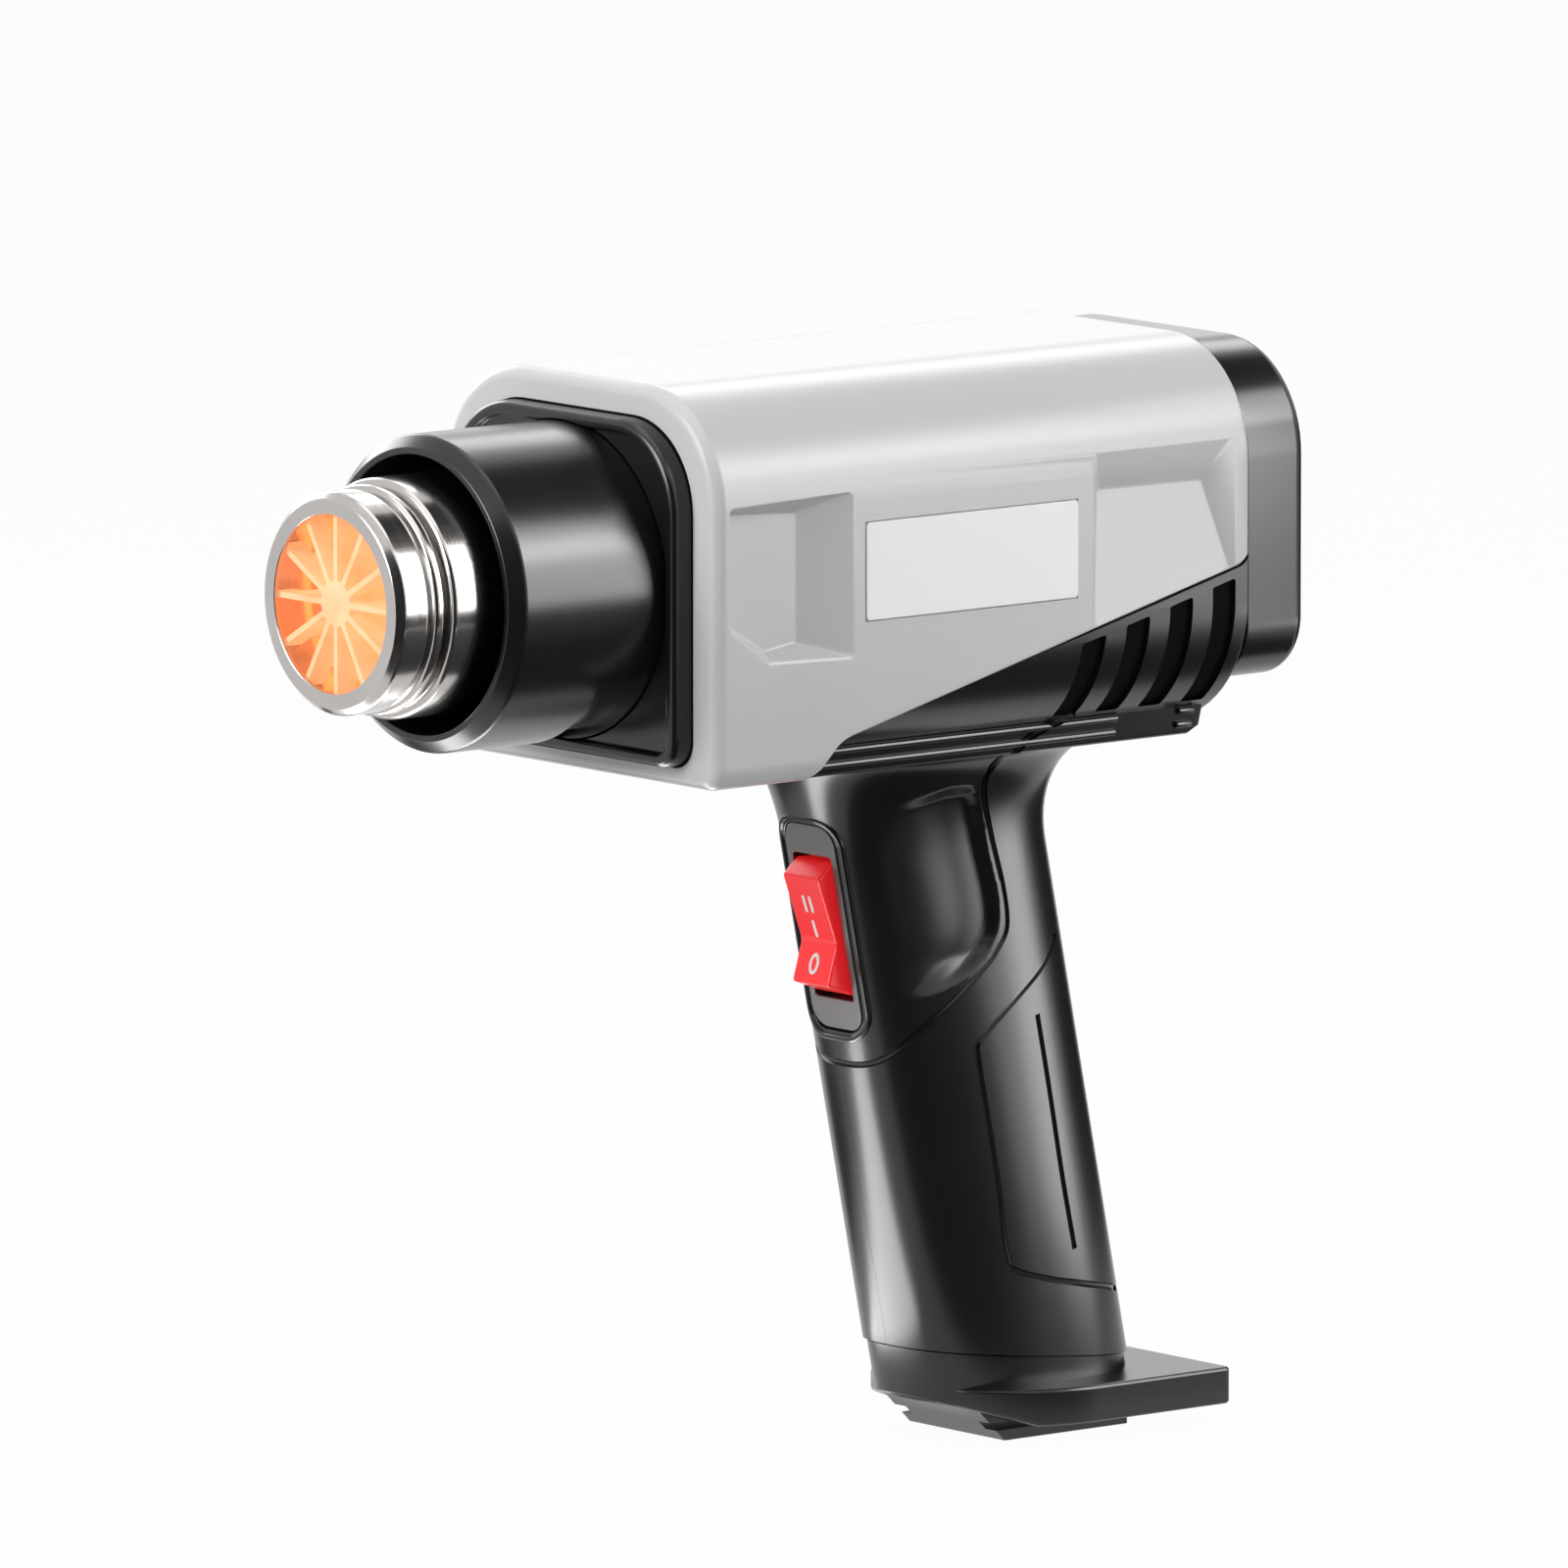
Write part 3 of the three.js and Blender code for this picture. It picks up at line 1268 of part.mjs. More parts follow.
function negativeLead() {
  return lead([...fromBlade(-1), inHandle(0.06, -0.47, 0.206), inHandle(0.17, -0.47, 0.27),
    inHandle(0.12, -0.53, 0.41), inHandle(0.06, -0.59, 0.538), inHandle(-0.08, -0.65, 0.665),
    inHandle(-0.2, -0.65, 0.79), inHandle(-0.37, -0.59, 0.918), inHandle(-0.5, -0.59, 1.005),
    inBody(0.25, -0.35, 0.71), inBody(0.165, -0.37, 0.6), ...toBoard(-0.64, 0.17)]);
}

function lowSpeedLead() {
  return lead([...fromTerminal(0), behindSwitch(0.93, 0.18, 0.19), behindSwitch(1.04, 0.38, 0.55),
    inHandle(-0.45, 0.53, 0.886), inHandle(-0.52, 0.59, 0.997), inBody(0.25, 0.32, 0.74),
    inBody(0.165, 0.35, 0.625),
    ...toBoard(0.6, 0.143)]);
}

function highSpeedLead() {
  return lead([...fromTerminal(1), behindSwitch(0.86, 0.06, 0.75), behindSwitch(0.93, 0.12, 1),
    inHandle(-0.41, 0.18, 0.934), inHandle(-0.52, 0.24, 1.005), inBody(0.24, 0.11, 0.77),
    inBody(0.165, 0.13, 0.65),
    ...toBoard(0.23, 0.12)]);
}

function motorLead(side) {
  const y = side * motorRadius * 0.43;
  const z = axisHeight - motorRadius * 0.5;
  const board = toBoard((2 * y) / boardWidth, 0.333);
  const drop = (z - board[0][2]) / 2;
  const run = motorRear - boardFront;
  return lead([[motorRear - clearance, y, z], [motorRear - leadEnd, y, z],
    [motorRear - run * 0.4, y, z - drop * 0.8],
    [motorRear - run * 0.75, y, z - drop * 1.7], ...board]);
}

const heaterLeadTurn = 24; // degrees each side of the top
const heaterLeadX = (baseFront + baseRear) / 2;

function heaterLead(side) {
  const turn = side * heaterLeadTurn;
  const out = (ductRadius + bodyTop - coverWall) / 2;
  const rise = ductRear - boardFront;
  return lead([...toBoard(side * 0.545, 0.93).reverse(),
    roundBarrel(boardFront + rise * 0.2, out * 0.72, turn),
    roundBarrel(boardFront + rise * 0.42, out * 0.92, turn), roundBarrel(boardFront + rise * 0.6, out, turn),
    roundBarrel(ductRear, out, turn), roundBarrel(ductFront - ductNeckLength - ductConeLength, out, turn),
    roundBarrel(heaterLeadX - 2 * leadEnd, out * 0.99, turn), roundBarrel(heaterLeadX, ductRadius, turn),
    roundBarrel(heaterLeadX, baseRadius + leadEnd, turn),
    roundBarrel(heaterLeadX, baseRadius + clearance, turn)]);
}

function heaterLeadHole(side) {
  const hole = rod(leadRadius + clearance, 0, ductRadius + 2, 'z', [heaterLeadX, 0, axisHeight],
    smallSegments);
  return aboutBarrel(hole, -side * heaterLeadTurn);
}

// Assembly

const group = new THREE.Group();

function place(name, part, material) {
  const made = part.getMesh();
  const geometry = new THREE.BufferGeometry();
  geometry.setAttribute('position', new THREE.BufferAttribute(new Float32Array(made.vertProperties), 3));
  geometry.setIndex(new THREE.BufferAttribute(new Uint32Array(made.triVerts), 1));
  geometry.computeVertexNormals();
  const mesh = new THREE.Mesh(geometry, material);
  mesh.name = name;
  group.add(mesh);
}

place('left_housing', housingHalf(1), blackPlastic);
place('right_housing', housingHalf(-1), blackPlastic);
place('upper_cover', upperCover(), whitePlastic);
place('left_label_plate', labelPlate(), labelFinish);
place('right_label_plate', mirrored(labelPlate()), labelFinish);
place('front_collar', frontCollar(), blackPlastic);
place('nozzle_shroud', nozzleShroud(), blackPlastic);
place('nozzle_tube', nozzleTube(), steel);
place('mica_sleeve', micaSleeve(), mica);
place('heater_frame', heaterFrame(), mica);
place('heating_coil', heatingCoil(), glowWire);
place('heater_base', heaterBase(), ceramic);
place('thermal_cutout', thermalCutout(), darkIron);
place('air_duct', airDuct(), blackPlastic);
place('fan_impeller', fanImpeller(), whitePlastic);
place('motor_can', motorCan(), steel);
place('motor_end_cap', motorEndCap(), blackPlastic);
place('front_bush', bush(frontBushFront), brass);
place('rear_bush', bush(endCapFront), brass);
place('motor_shaft', motorShaft(), steel);
place('motor_rotor', motorRotor(), darkIron);
place('left_magnet', motorMagnet(1), darkIron);
place('right_magnet', motorMagnet(-1), darkIron);
place('rear_cap', rearCap(), blackPlastic);
place('control_board', controlBoard(), greenBoard);
place('heat_sink', heatSink(), steel);
place('board_capacitor', boardCapacitor(), darkIron);
place('switch_body', switchBody(), blackPlastic);
place('rocker', rocker(), redPlastic);
terminalRows.forEach((row, i) => place(`switch_terminal_${i + 1}`, switchTerminal(row), brass));
place('battery_shoe', batteryShoe(), blackPlastic);
place('terminal_block', terminalBlock(), blackPlastic);
place('positive_blade', contactBlade(1), brass);
place('negative_blade', contactBlade(-1), brass);
housingScrews().forEach((at, i) => place(`housing_screw_${i + 1}`, housingScrew(at), steel));
place('left_cap_screw', capScrew(1), steel);
place('right_cap_screw', capScrew(-1), steel);
place('positive_lead', positiveLead(), redLead);
place('negative_lead', negativeLead(), blackLead);
place('low_speed_lead', lowSpeedLead(), redLead);
place('high_speed_lead', highSpeedLead(), redLead);
place('left_motor_lead', motorLead(1), redLead);
place('right_motor_lead', motorLead(-1), blackLead);
place('left_heater_lead', heaterLead(1), redLead);
place('right_heater_lead', heaterLead(-1), redLead);

export default group;
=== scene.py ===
import math

import bmesh
import bpy
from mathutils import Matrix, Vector


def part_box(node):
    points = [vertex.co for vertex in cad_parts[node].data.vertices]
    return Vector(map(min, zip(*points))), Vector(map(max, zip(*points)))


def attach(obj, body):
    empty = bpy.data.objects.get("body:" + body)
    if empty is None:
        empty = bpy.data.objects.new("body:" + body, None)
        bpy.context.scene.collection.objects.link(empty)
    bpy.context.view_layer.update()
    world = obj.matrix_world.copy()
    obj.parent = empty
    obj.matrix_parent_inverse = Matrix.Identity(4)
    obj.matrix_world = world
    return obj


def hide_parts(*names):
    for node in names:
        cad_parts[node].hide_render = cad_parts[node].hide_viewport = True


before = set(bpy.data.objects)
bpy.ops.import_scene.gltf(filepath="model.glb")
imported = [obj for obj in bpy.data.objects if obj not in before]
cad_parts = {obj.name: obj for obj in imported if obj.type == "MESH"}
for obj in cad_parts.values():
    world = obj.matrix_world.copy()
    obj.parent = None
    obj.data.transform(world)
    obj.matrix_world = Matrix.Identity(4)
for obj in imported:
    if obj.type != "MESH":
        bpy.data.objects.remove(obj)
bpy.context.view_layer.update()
print("frame loaded,", len(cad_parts), "nodes")

mm = 0.001
near = 0.01  # closer than this counts as the same place
weld = 0.002  # points closer than this are merged
cornerShare = 0.49  # the most that one round takes of a side
creaseAngle = 32  # edges sharper than this stay sharp


def span(node):
    low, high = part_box(node)
    return low / mm, high / mm


coverLow, coverHigh = span("upper_cover")
nozzleLow, nozzleHigh = span("nozzle_tube")
axis = (nozzleLow.z + nozzleHigh.z) / 2  # height of the barrel
tip = nozzleHigh.x


# working helpers, all in millimetres


def clearSelection():
    active = bpy.context.view_layer.objects.active
    if active and active.mode != "OBJECT":
        bpy.ops.object.mode_set(mode="OBJECT")
    bpy.ops.object.select_all(action="DESELECT")


def pick(obj):
    clearSelection()
    obj.select_set(True)
    bpy.context.view_layer.objects.active = obj


def named(name):
    # the object that an operator has just made
    obj = bpy.context.object
    obj.name = name
    return obj


def settle():
    # write place, turn and scale into the mesh
    bpy.ops.object.transform_apply(location=True, rotation=True, scale=True)


def selectAll():
    bpy.ops.mesh.select_all(action="SELECT")


def drawOut(step):
    bpy.ops.mesh.extrude_region_move(TRANSFORM_OT_translate={"value": step})


def startEdit(obj, kind="VERT"):
    pick(obj)
    bpy.ops.object.mode_set(mode="EDIT")
    bpy.ops.mesh.select_mode(type=kind)
    bpy.ops.mesh.select_all(action="DESELECT")


def endEdit():
    bpy.ops.object.mode_set(mode="OBJECT")


def selectVerts(obj, test):
    mesh = bmesh.from_edit_mesh(obj.data)
    for vert in mesh.verts:
        vert.select_set(test(vert.co / mm))
    mesh.select_flush_mode()
    bmesh.update_edit_mesh(obj.data)


def selectEdges(obj, test):
    mesh = bmesh.from_edit_mesh(obj.data)
    for edge in mesh.edges:
        edge.select_set(test(edge.verts[0].co / mm, edge.verts[1].co / mm))
    mesh.select_flush_mode()
    bmesh.update_edit_mesh(obj.data)


def outwards():
    # faces out, whichever way the outline was drawn
    selectAll()
    bpy.ops.mesh.normals_make_consistent(inside=False)
    mesh = bmesh.from_edit_mesh(bpy.context.object.data)
    if mesh.calc_volume(signed=True) < 0:
        bpy.ops.mesh.flip_normals()
    endEdit()


def rectangle(left, low, right, high):
    return [(left, low), (right, low), (right, high), (left, high)]


def rounded(points, radii, steps):
    # a closed outline with its corners rounded, one radius for each point
    out = []
    for i, point in enumerate(points):
        here = Vector(point)
        radius = radii[i] if isinstance(radii, (list, tuple)) else radii
        if radius <= 0:
            out.append((here.x, here.y))
            continue
        toBefore = Vector(points[i - 1]) - here
        toAfter = Vector(points[(i + 1) % len(points)]) - here
        halfAngle = toBefore.angle(toAfter) / 2
        reach = min(radius / math.tan(halfAngle), cornerShare * min(toBefore.length, toAfter.length))
        radius = reach * math.tan(halfAngle)
        start = here + toBefore.normalized() * reach
        end = here + toAfter.normalized() * reach
        middle = (toBefore.normalized() + toAfter.normalized()).normalized()
        centre = here + middle * (radius / math.sin(halfAngle))
        first = math.atan2(start.y - centre.y, start.x - centre.x)
        last = math.atan2(end.y - centre.y, end.x - centre.x)
        turn = (last - first + math.pi) % (2 * math.pi) - math.pi
        for k in range(steps + 1):
            angle = first + turn * k / steps
            out.append((centre.x + radius * math.cos(angle), centre.y + radius * math.sin(angle)))
    return out


def sectionPrism(name, half, low, high, lowerRound, upperRound, rear, front, middle=None, steps=10):
    # a rounded section across the barrel, drawn out along x
    middle = axis if middle is None else middle
    clearSelection()
    centre = (rear * mm, 0, (middle + (low + high) / 2) * mm)
    bpy.ops.mesh.primitive_plane_add(size=1, location=centre, rotation=(0, math.pi / 2, 0))
    obj = named(name)
    obj.scale = ((high - low) * mm, 2 * half * mm, 1)
    settle()
    startEdit(obj)
    for radius, level in ((lowerRound, low), (upperRound, high)):
        if radius > 0:
            selectVerts(obj, lambda p: abs(p.z - middle - level) < near and abs(abs(p.y) - half) < near)
            bpy.ops.mesh.bevel(offset=radius * mm, segments=steps, affect="VERTICES", clamp_overlap=False)
    selectAll()
    drawOut(((front - rear) * mm, 0, 0))
    outwards()
    return obj


def flatPrism(name, points, place, reach):
    # an outline set point by point with place(a, b), then drawn out by reach
    clearSelection()
    bpy.ops.mesh.primitive_circle_add(vertices=len(points), radius=mm, fill_type="NGON")
    obj = named(name)
    startEdit(obj)
    mesh = bmesh.from_edit_mesh(obj.data)
    mesh.verts.ensure_lookup_table()
    for i, (a, b) in enumerate(points):
        mesh.verts[i].co = Vector(place(a, b)) * mm
    bmesh.update_edit_mesh(obj.data)
    selectAll()
    drawOut(Vector(reach) * mm)
    outwards()
    return obj


def loftPiece(name, rings):
    # a ring drawn out once for each outline, then set point by point
    count = len(rings[0])
    clearSelection()
    bpy.ops.mesh.primitive_circle_add(vertices=count, radius=1, fill_type="NGON")
    obj = named(name)
    startEdit(obj)
    selectAll()
    for _ in rings[1:]:
        drawOut((0, 0, 1))
    mesh = bmesh.from_edit_mesh(obj.data)
    for vert in mesh.verts:
        i = round(math.atan2(vert.co.x, vert.co.y) / (2 * math.pi) * count) % count
        vert.co = Vector(rings[round(vert.co.z)][i]) * mm
    bmesh.update_edit_mesh(obj.data)
    outwards()
    return obj


def outwardSteps(points):
    # which way is out, at each point of a closed outline
    area = sum(a[0] * b[1] - b[0] * a[1] for a, b in zip(points, points[1:] + points[:1]))
    side = 1 if area > 0 else -1
    steps = []
    for i, point in enumerate(points):
        before = (Vector(point) - Vector(points[i - 1])).normalized()
        after = (Vector(points[(i + 1) % len(points)]) - Vector(point)).normalized()
        along = (before + after).normalized()
        steps.append(Vector((along.y, -along.x)) * side)
    return steps


def bend(start, corner, end):
    # five points of a round that leaves and meets its straights smoothly
    run = []
    for t in (0, 0.25, 0.5, 0.75, 1):
        run.append((1 - t) ** 2 * start + 2 * t * (1 - t) * corner + t * t * end)
    return run


def softPocket(name, rim, out, floor, lift, soft, floorSoft):
    # a pocket's cutter with a rounded rim and a filleted floor, from points in space
    most = 0.45  # of the wall, for one round
    runs = []
    for edge, away, deep in zip(rim, out, floor):
        wall = deep - edge
        down = wall.normalized()
        top = edge + away * soft
        low = edge + down * min(soft, most * wall.length)
        foot = deep - down * min(floorSoft, most * wall.length)
        inner = deep - away * floorSoft
        runs.append([top + lift] + bend(top, edge, low) + bend(foot, deep, inner))
    return loftPiece(name, [list(ring) for ring in zip(*runs)])


def facePocket(name, outline, x, height, depth, lift, soft, floorSoft):
    # the same in a face that looks along x, from its outline across and up
    edge = [Vector((x, y, height + up)) for y, up in outline]
    out = [Vector((0, step.x, step.y)) for step in outwardSteps(outline)]
    base = [point + Vector((depth, 0, 0)) for point in edge]
    return softPocket(name, edge, out, base, Vector((lift, 0, 0)), soft, floorSoft)


def sidePrism(name, points, right, left):
    # an (x, z) outline drawn out across the tool
    return flatPrism(name, points, lambda x, z: (x, right, z), (0, left - right, 0))


def blockPiece(name, x0, x1, y0, y1, z0, z1):
    return sidePrism(name, rectangle(x0, z0, x1, z1), y0, y1)


def turnedPiece(name, profile, segments=144):
    # a closed (x, radius) profile turned about the barrel
    clearSelection()
    x, radius = profile[0]
    place = (x * mm, 0, axis * mm)
    bpy.ops.mesh.primitive_circle_add(vertices=segments, radius=radius * mm, location=place,
                                      rotation=(0, math.pi / 2, 0))
    obj = named(name)
    settle()
    startEdit(obj)
    selectAll()
    for nextX, nextRadius in profile[1:] + profile[:1]:
        bpy.ops.mesh.extrude_edges_move(TRANSFORM_OT_translate={"value": ((nextX - x) * mm, 0, 0)})
        ratio = nextRadius / radius
        bpy.ops.transform.resize(value=(1, ratio, ratio), center_override=(nextX * mm, 0, axis * mm))
        x, radius = nextX, nextRadius
    selectAll()
    bpy.ops.mesh.remove_doubles(threshold=weld * mm)
    outwards()
    return obj


def pegPiece(name, radius, start, end, along, segments=32):
    # a round peg from start to end along x or y
    clearSelection()
    turn = (0, math.pi / 2, 0) if along == "x" else (-math.pi / 2, 0, 0)
    bpy.ops.mesh.primitive_circle_add(vertices=segments, radius=radius * mm, fill_type="NGON",
                                      location=Vector(start) * mm, rotation=turn)
    obj = named(name)
    settle()
    startEdit(obj)
    selectAll()
    drawOut((Vector(end) - Vector(start)) * mm)
    outwards()
    return obj


def carve(obj, tool, way="DIFFERENCE", keep=False):
    pick(obj)
    step = obj.modifiers.new("carve", "BOOLEAN")
    step.operation = way
    step.solver = "EXACT"
    step.object = tool
    bpy.ops.object.modifier_apply(modifier=step.name)
    tidyMesh(obj)
    if not keep:
        bpy.data.objects.remove(tool)
    return obj


def copyOf(obj, name, mirrorSide=False):
    made = obj.copy()
    made.data = obj.data.copy()
    made.name = name
    bpy.context.scene.collection.objects.link(made)
    if mirrorSide:
        pick(made)
        made.scale = (1, -1, 1)
        settle()
        startEdit(made)
        outwards()
    return made


def carveBoth(obj, tool, way="DIFFERENCE"):
    # the same cut on both sides of the tool
    twin = copyOf(tool, "twin", True)
    carve(obj, tool, way)
    return carve(obj, twin, way)


def bevelWhere(obj, width, segments, test):
    startEdit(obj, "EDGE")
    selectEdges(obj, test)
    bpy.ops.mesh.bevel(offset=width * mm, segments=segments, affect="EDGES", clamp_overlap=False)
    endEdit()


def rimRound(obj, x, width, segments):
    bevelWhere(obj, width, segments, lambda a, b: abs(a.x - x) < near and abs(b.x - x) < near)


def softEdges(obj, width, segments):
    pick(obj)
    tidyMesh(obj)
    step = obj.modifiers.new("soft", "BEVEL")
    step.width = width * mm
    step.segments = segments
    step.limit_method = "ANGLE"
    step.angle_limit = math.radians(creaseAngle)
    step.use_clamp_overlap = False
    step.miter_outer = "MITER_ARC"
    bpy.ops.object.modifier_apply(modifier=step.name)


def tidyMesh(obj):
    startEdit(obj)
    selectAll()
    bpy.ops.mesh.remove_doubles(threshold=weld * mm)
    bpy.ops.mesh.dissolve_degenerate(threshold=weld * mm)
    endEdit()


def finishPiece(obj, finish, bodyName, nodes, angle=creaseAngle):
    pick(obj)
    bpy.ops.object.shade_smooth_by_angle(angle=math.radians(angle))
    even = obj.modifiers.new("even", "WEIGHTED_NORMAL")
    even.keep_sharp = True
    bpy.ops.object.modifier_apply(modifier=even.name)
    obj.data.materials.clear()
    obj.data.materials.append(finish)
    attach(obj, bodyName)
    if nodes:
        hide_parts(*nodes)
    return obj


# finishes


class Wire:
    # a socket that Python's own operators can work on
    def __init__(self, finish, socket):
        self.finish = finish
        self.socket = socket

    def maths(self, way, first, second):
        return self.finish.node("ShaderNodeMath", {"operation": way}, {0: first, 1: second})

    def __add__(self, other):
        return self.maths("ADD", self, other)

    def __radd__(self, other):
        return self.maths("ADD", other, self)

    def __mul__(self, other):
        return self.maths("MULTIPLY", self, other)


class Finish:
    def __init__(self, name, **fixed):
        self.material = bpy.data.materials.new(name)
        self.material.use_nodes = True
        self.tree = self.material.node_tree
        self.shader = self.tree.nodes["Principled BSDF"]
        for key, value in fixed.items():
            self.shader.inputs[key.replace("_", " ")].default_value = value

    def node(self, kind, settings=None, sockets=None, output=0):
        made = self.tree.nodes.new(kind)
        for key, value in (settings or {}).items():
            setattr(made, key, value)
        for key, value in (sockets or {}).items():
            self.feed(made.inputs[key], value)
        return Wire(self, made.outputs[output])

    def feed(self, socket, value):
        if isinstance(value, Wire):
            self.tree.links.new(value.socket, socket)
        else:
            socket.default_value = value

    def into(self, key, value):
        self.feed(self.shader.inputs[key], value)

    def noise(self, scale, detail, stretch=(1, 1, 1)):
        # on the piece's own coordinates, in metres
        here = self.node("ShaderNodeTexCoord", output="Object")
        place = self.node("ShaderNodeMapping", None, {"Vector": here, "Scale": stretch})
        return self.node("ShaderNodeTexNoise", None, {"Vector": place, "Scale": scale, "Detail": detail})

    def shades(self, amount, dark, light):
        return self.node("ShaderNodeMix", {"data_type": "RGBA"},
                         {0: amount, 6: (*dark, 1), 7: (*light, 1)}, output=2)

    def relief(self, height, strength, depth):
        self.into("Normal", self.node("ShaderNodeBump", None,
                                      {"Height": height, "Strength": strength, "Distance": depth}))


moulding = {
    "driftScale": 35,
    "driftDetail": 3,
    "grainScale": 2600,
    "grainDetail": 2,
    "grainRoughness": 0.05,
    "grainDepth": 0.00006,
}
metalLines = {"detail": 3, "strength": 0.12}
hotSurface = {"detail": 3, "roughness": 0.65}


def mouldedPlastic(name, dark, light, roughness, spread, grain, fixed):
    # an even colour with a faint drift, and the fine spark grain of a mould
    form = moulding
    finish = Finish(name, **fixed)
    drift = finish.noise(form["driftScale"], form["driftDetail"])
    fine = finish.noise(form["grainScale"], form["grainDetail"])
    finish.into("Base Color", finish.shades(drift, dark, light))
    finish.into("Roughness", roughness - spread / 2 + drift * spread + fine * form["grainRoughness"])
    finish.relief(fine, grain, form["grainDepth"])
    return finish.material


def metalFinish(name, dark, light, roughness, spread, stretch, scale, depth):
    finish = Finish(name, Metallic=1.0)
    lines = finish.noise(scale, metalLines["detail"], stretch)
    finish.into("Base Color", finish.shades(lines, dark, light))
    finish.into("Roughness", roughness + lines * spread)
    finish.relief(lines, metalLines["strength"], depth)
    return finish.material


def hotFinish(name, dark, light, glowDark, glowLight, strength, scale):
    finish = Finish(name, Roughness=hotSurface["roughness"], Emission_Strength=strength)
    mottle = finish.noise(scale, hotSurface["detail"])
    finish.into("Base Color", finish.shades(mottle, dark, light))
    finish.into("Emission Color", finish.shades(mottle, glowDark, glowLight))
    return finish.material


black = ((0.006, 0.006, 0.0065), (0.009, 0.009, 0.0095))
plastics = {
    # dark and light shade, roughness and its spread, strength of the grain, other fixed values
    "blackGrip": (*black, 0.22, 0.05, 0.1, {}),
    "blackGloss": (*black, 0.19, 0.05, 0.05, {}),
    "blackSatin": (*black, 0.22, 0.05, 0.1, {}),
    # near-black with little shine, for the sheets inside the vents: painted shade
    "ventShadeBlack": ((0.003, 0.003, 0.003), (0.004, 0.004, 0.004), 0.85, 0.05, 0.1,
                  {"Specular_IOR_Level": 0.05}),
    "greyBezel": ((0.12, 0.115, 0.116), (0.15, 0.145, 0.146), 0.32, 0.06, 0.08, {}),
    "whiteCover": ((0.58, 0.58, 0.58), (0.61, 0.61, 0.61), 0.22, 0.05, 0.04,
                   {"Specular_IOR_Level": 0.25}),
    "labelCard": ((0.92, 0.92, 0.92), (0.95, 0.95, 0.95), 0.45, 0.06, 0.06, {}),
    # the rocker carries a faint red glow of its own: painted light, though it holds no lamp
    "redRocker": ((0.72, 0.008, 0.012), (0.82, 0.014, 0.018), 0.2, 0.04, 0.02,
                  {"Emission_Color": (1.0, 0.02, 0.025, 1), "Emission_Strength": 0.35}),
    "whiteMark": ((0.85, 0.85, 0.85), (0.9, 0.9, 0.9), 0.4, 0.05, 0.02, {}),
    "ceramic": ((0.66, 0.62, 0.55), (0.78, 0.75, 0.69), 0.7, 0.1, 0.2, {}),
    "boardGreen": ((0.012, 0.08, 0.03), (0.02, 0.12, 0.045), 0.35, 0.1, 0.1, {}),
    "redLead": ((0.38, 0.012, 0.012), (0.46, 0.02, 0.02), 0.4, 0.08, 0.1, {}),
    "blackLead": ((0.012, 0.012, 0.012), (0.018, 0.018, 0.018), 0.4, 0.08, 0.1, {}),
}
metals = {
    # dark and light shade, roughness and its spread, stretch, scale and depth of the lines
    "steel": ((0.43, 0.41, 0.395), (0.56, 0.54, 0.525), 0.1, 0.14, (60, 1, 1), 60, 0.00003),
    "aluminium": ((0.66, 0.67, 0.68), (0.78, 0.79, 0.8), 0.3, 0.15, (1, 1, 20), 90, 0.00003),
    "brass": ((0.62, 0.42, 0.15), (0.75, 0.54, 0.22), 0.25, 0.15, (1, 1, 20), 90, 0.00003),
    "darkIron": ((0.11, 0.11, 0.12), (0.19, 0.19, 0.2), 0.42, 0.18, (30, 1, 1), 60, 0.00004),
}
hotParts = {
    # dark and light shade, dark and light glow, its strength, scale of the mottle
    "hotVane": ((0.42, 0.24, 0.14), (0.6, 0.4, 0.26), (1.0, 0.22, 0.07), (1.0, 0.44, 0.21), 1.0, 180),
    "hotWire": ((0.3, 0.12, 0.06), (0.4, 0.18, 0.1), (1.0, 0.22, 0.045), (1.0, 0.4, 0.12), 3.0, 220),
    "mica": ((0.42, 0.3, 0.19), (0.62, 0.48, 0.32), (1.0, 0.2, 0.05), (1.0, 0.32, 0.1), 0.55, 260),
}
finishes = {}
for makeFinish, looks in ((mouldedPlastic, plastics), (metalFinish, metals), (hotFinish, hotParts)):
    for finishName, look in looks.items():
        finishes[finishName] = makeFinish(finishName, *look)

cadFinishes = {
    "steel": ["motor_can", "motor_shaft", "housing_screw_1", "housing_screw_2", "housing_screw_3",
              "left_cap_screw", "right_cap_screw"],
    "mica": ["mica_sleeve"],
    "hotVane": ["heater_frame"],
    "hotWire": ["heating_coil"],
    "ceramic": ["heater_base"],
    "darkIron": ["motor_rotor", "left_magnet", "right_magnet", "board_capacitor"],
    "aluminium": ["heat_sink", "thermal_cutout"],
    "brass": ["front_bush", "rear_bush", "switch_terminal_1", "switch_terminal_2", "switch_terminal_3",
              "positive_blade", "negative_blade"],
    "boardGreen": ["control_board"],
    "blackSatin": ["air_duct", "fan_impeller", "motor_end_cap", "switch_body", "terminal_block"],
    "redLead": ["positive_lead", "high_speed_lead", "left_motor_lead", "left_heater_lead"],
    "blackLead": ["negative_lead", "low_speed_lead", "right_motor_lead", "right_heater_lead"],
}
for finishName, nodeNames in cadFinishes.items():
    for nodeName in nodeNames:
        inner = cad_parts[nodeName]
        for materialSlot in inner.material_slots:
            materialSlot.material = finishes[finishName]
print("finishes made,", len(finishes))


# body form shared by the cover and the housing

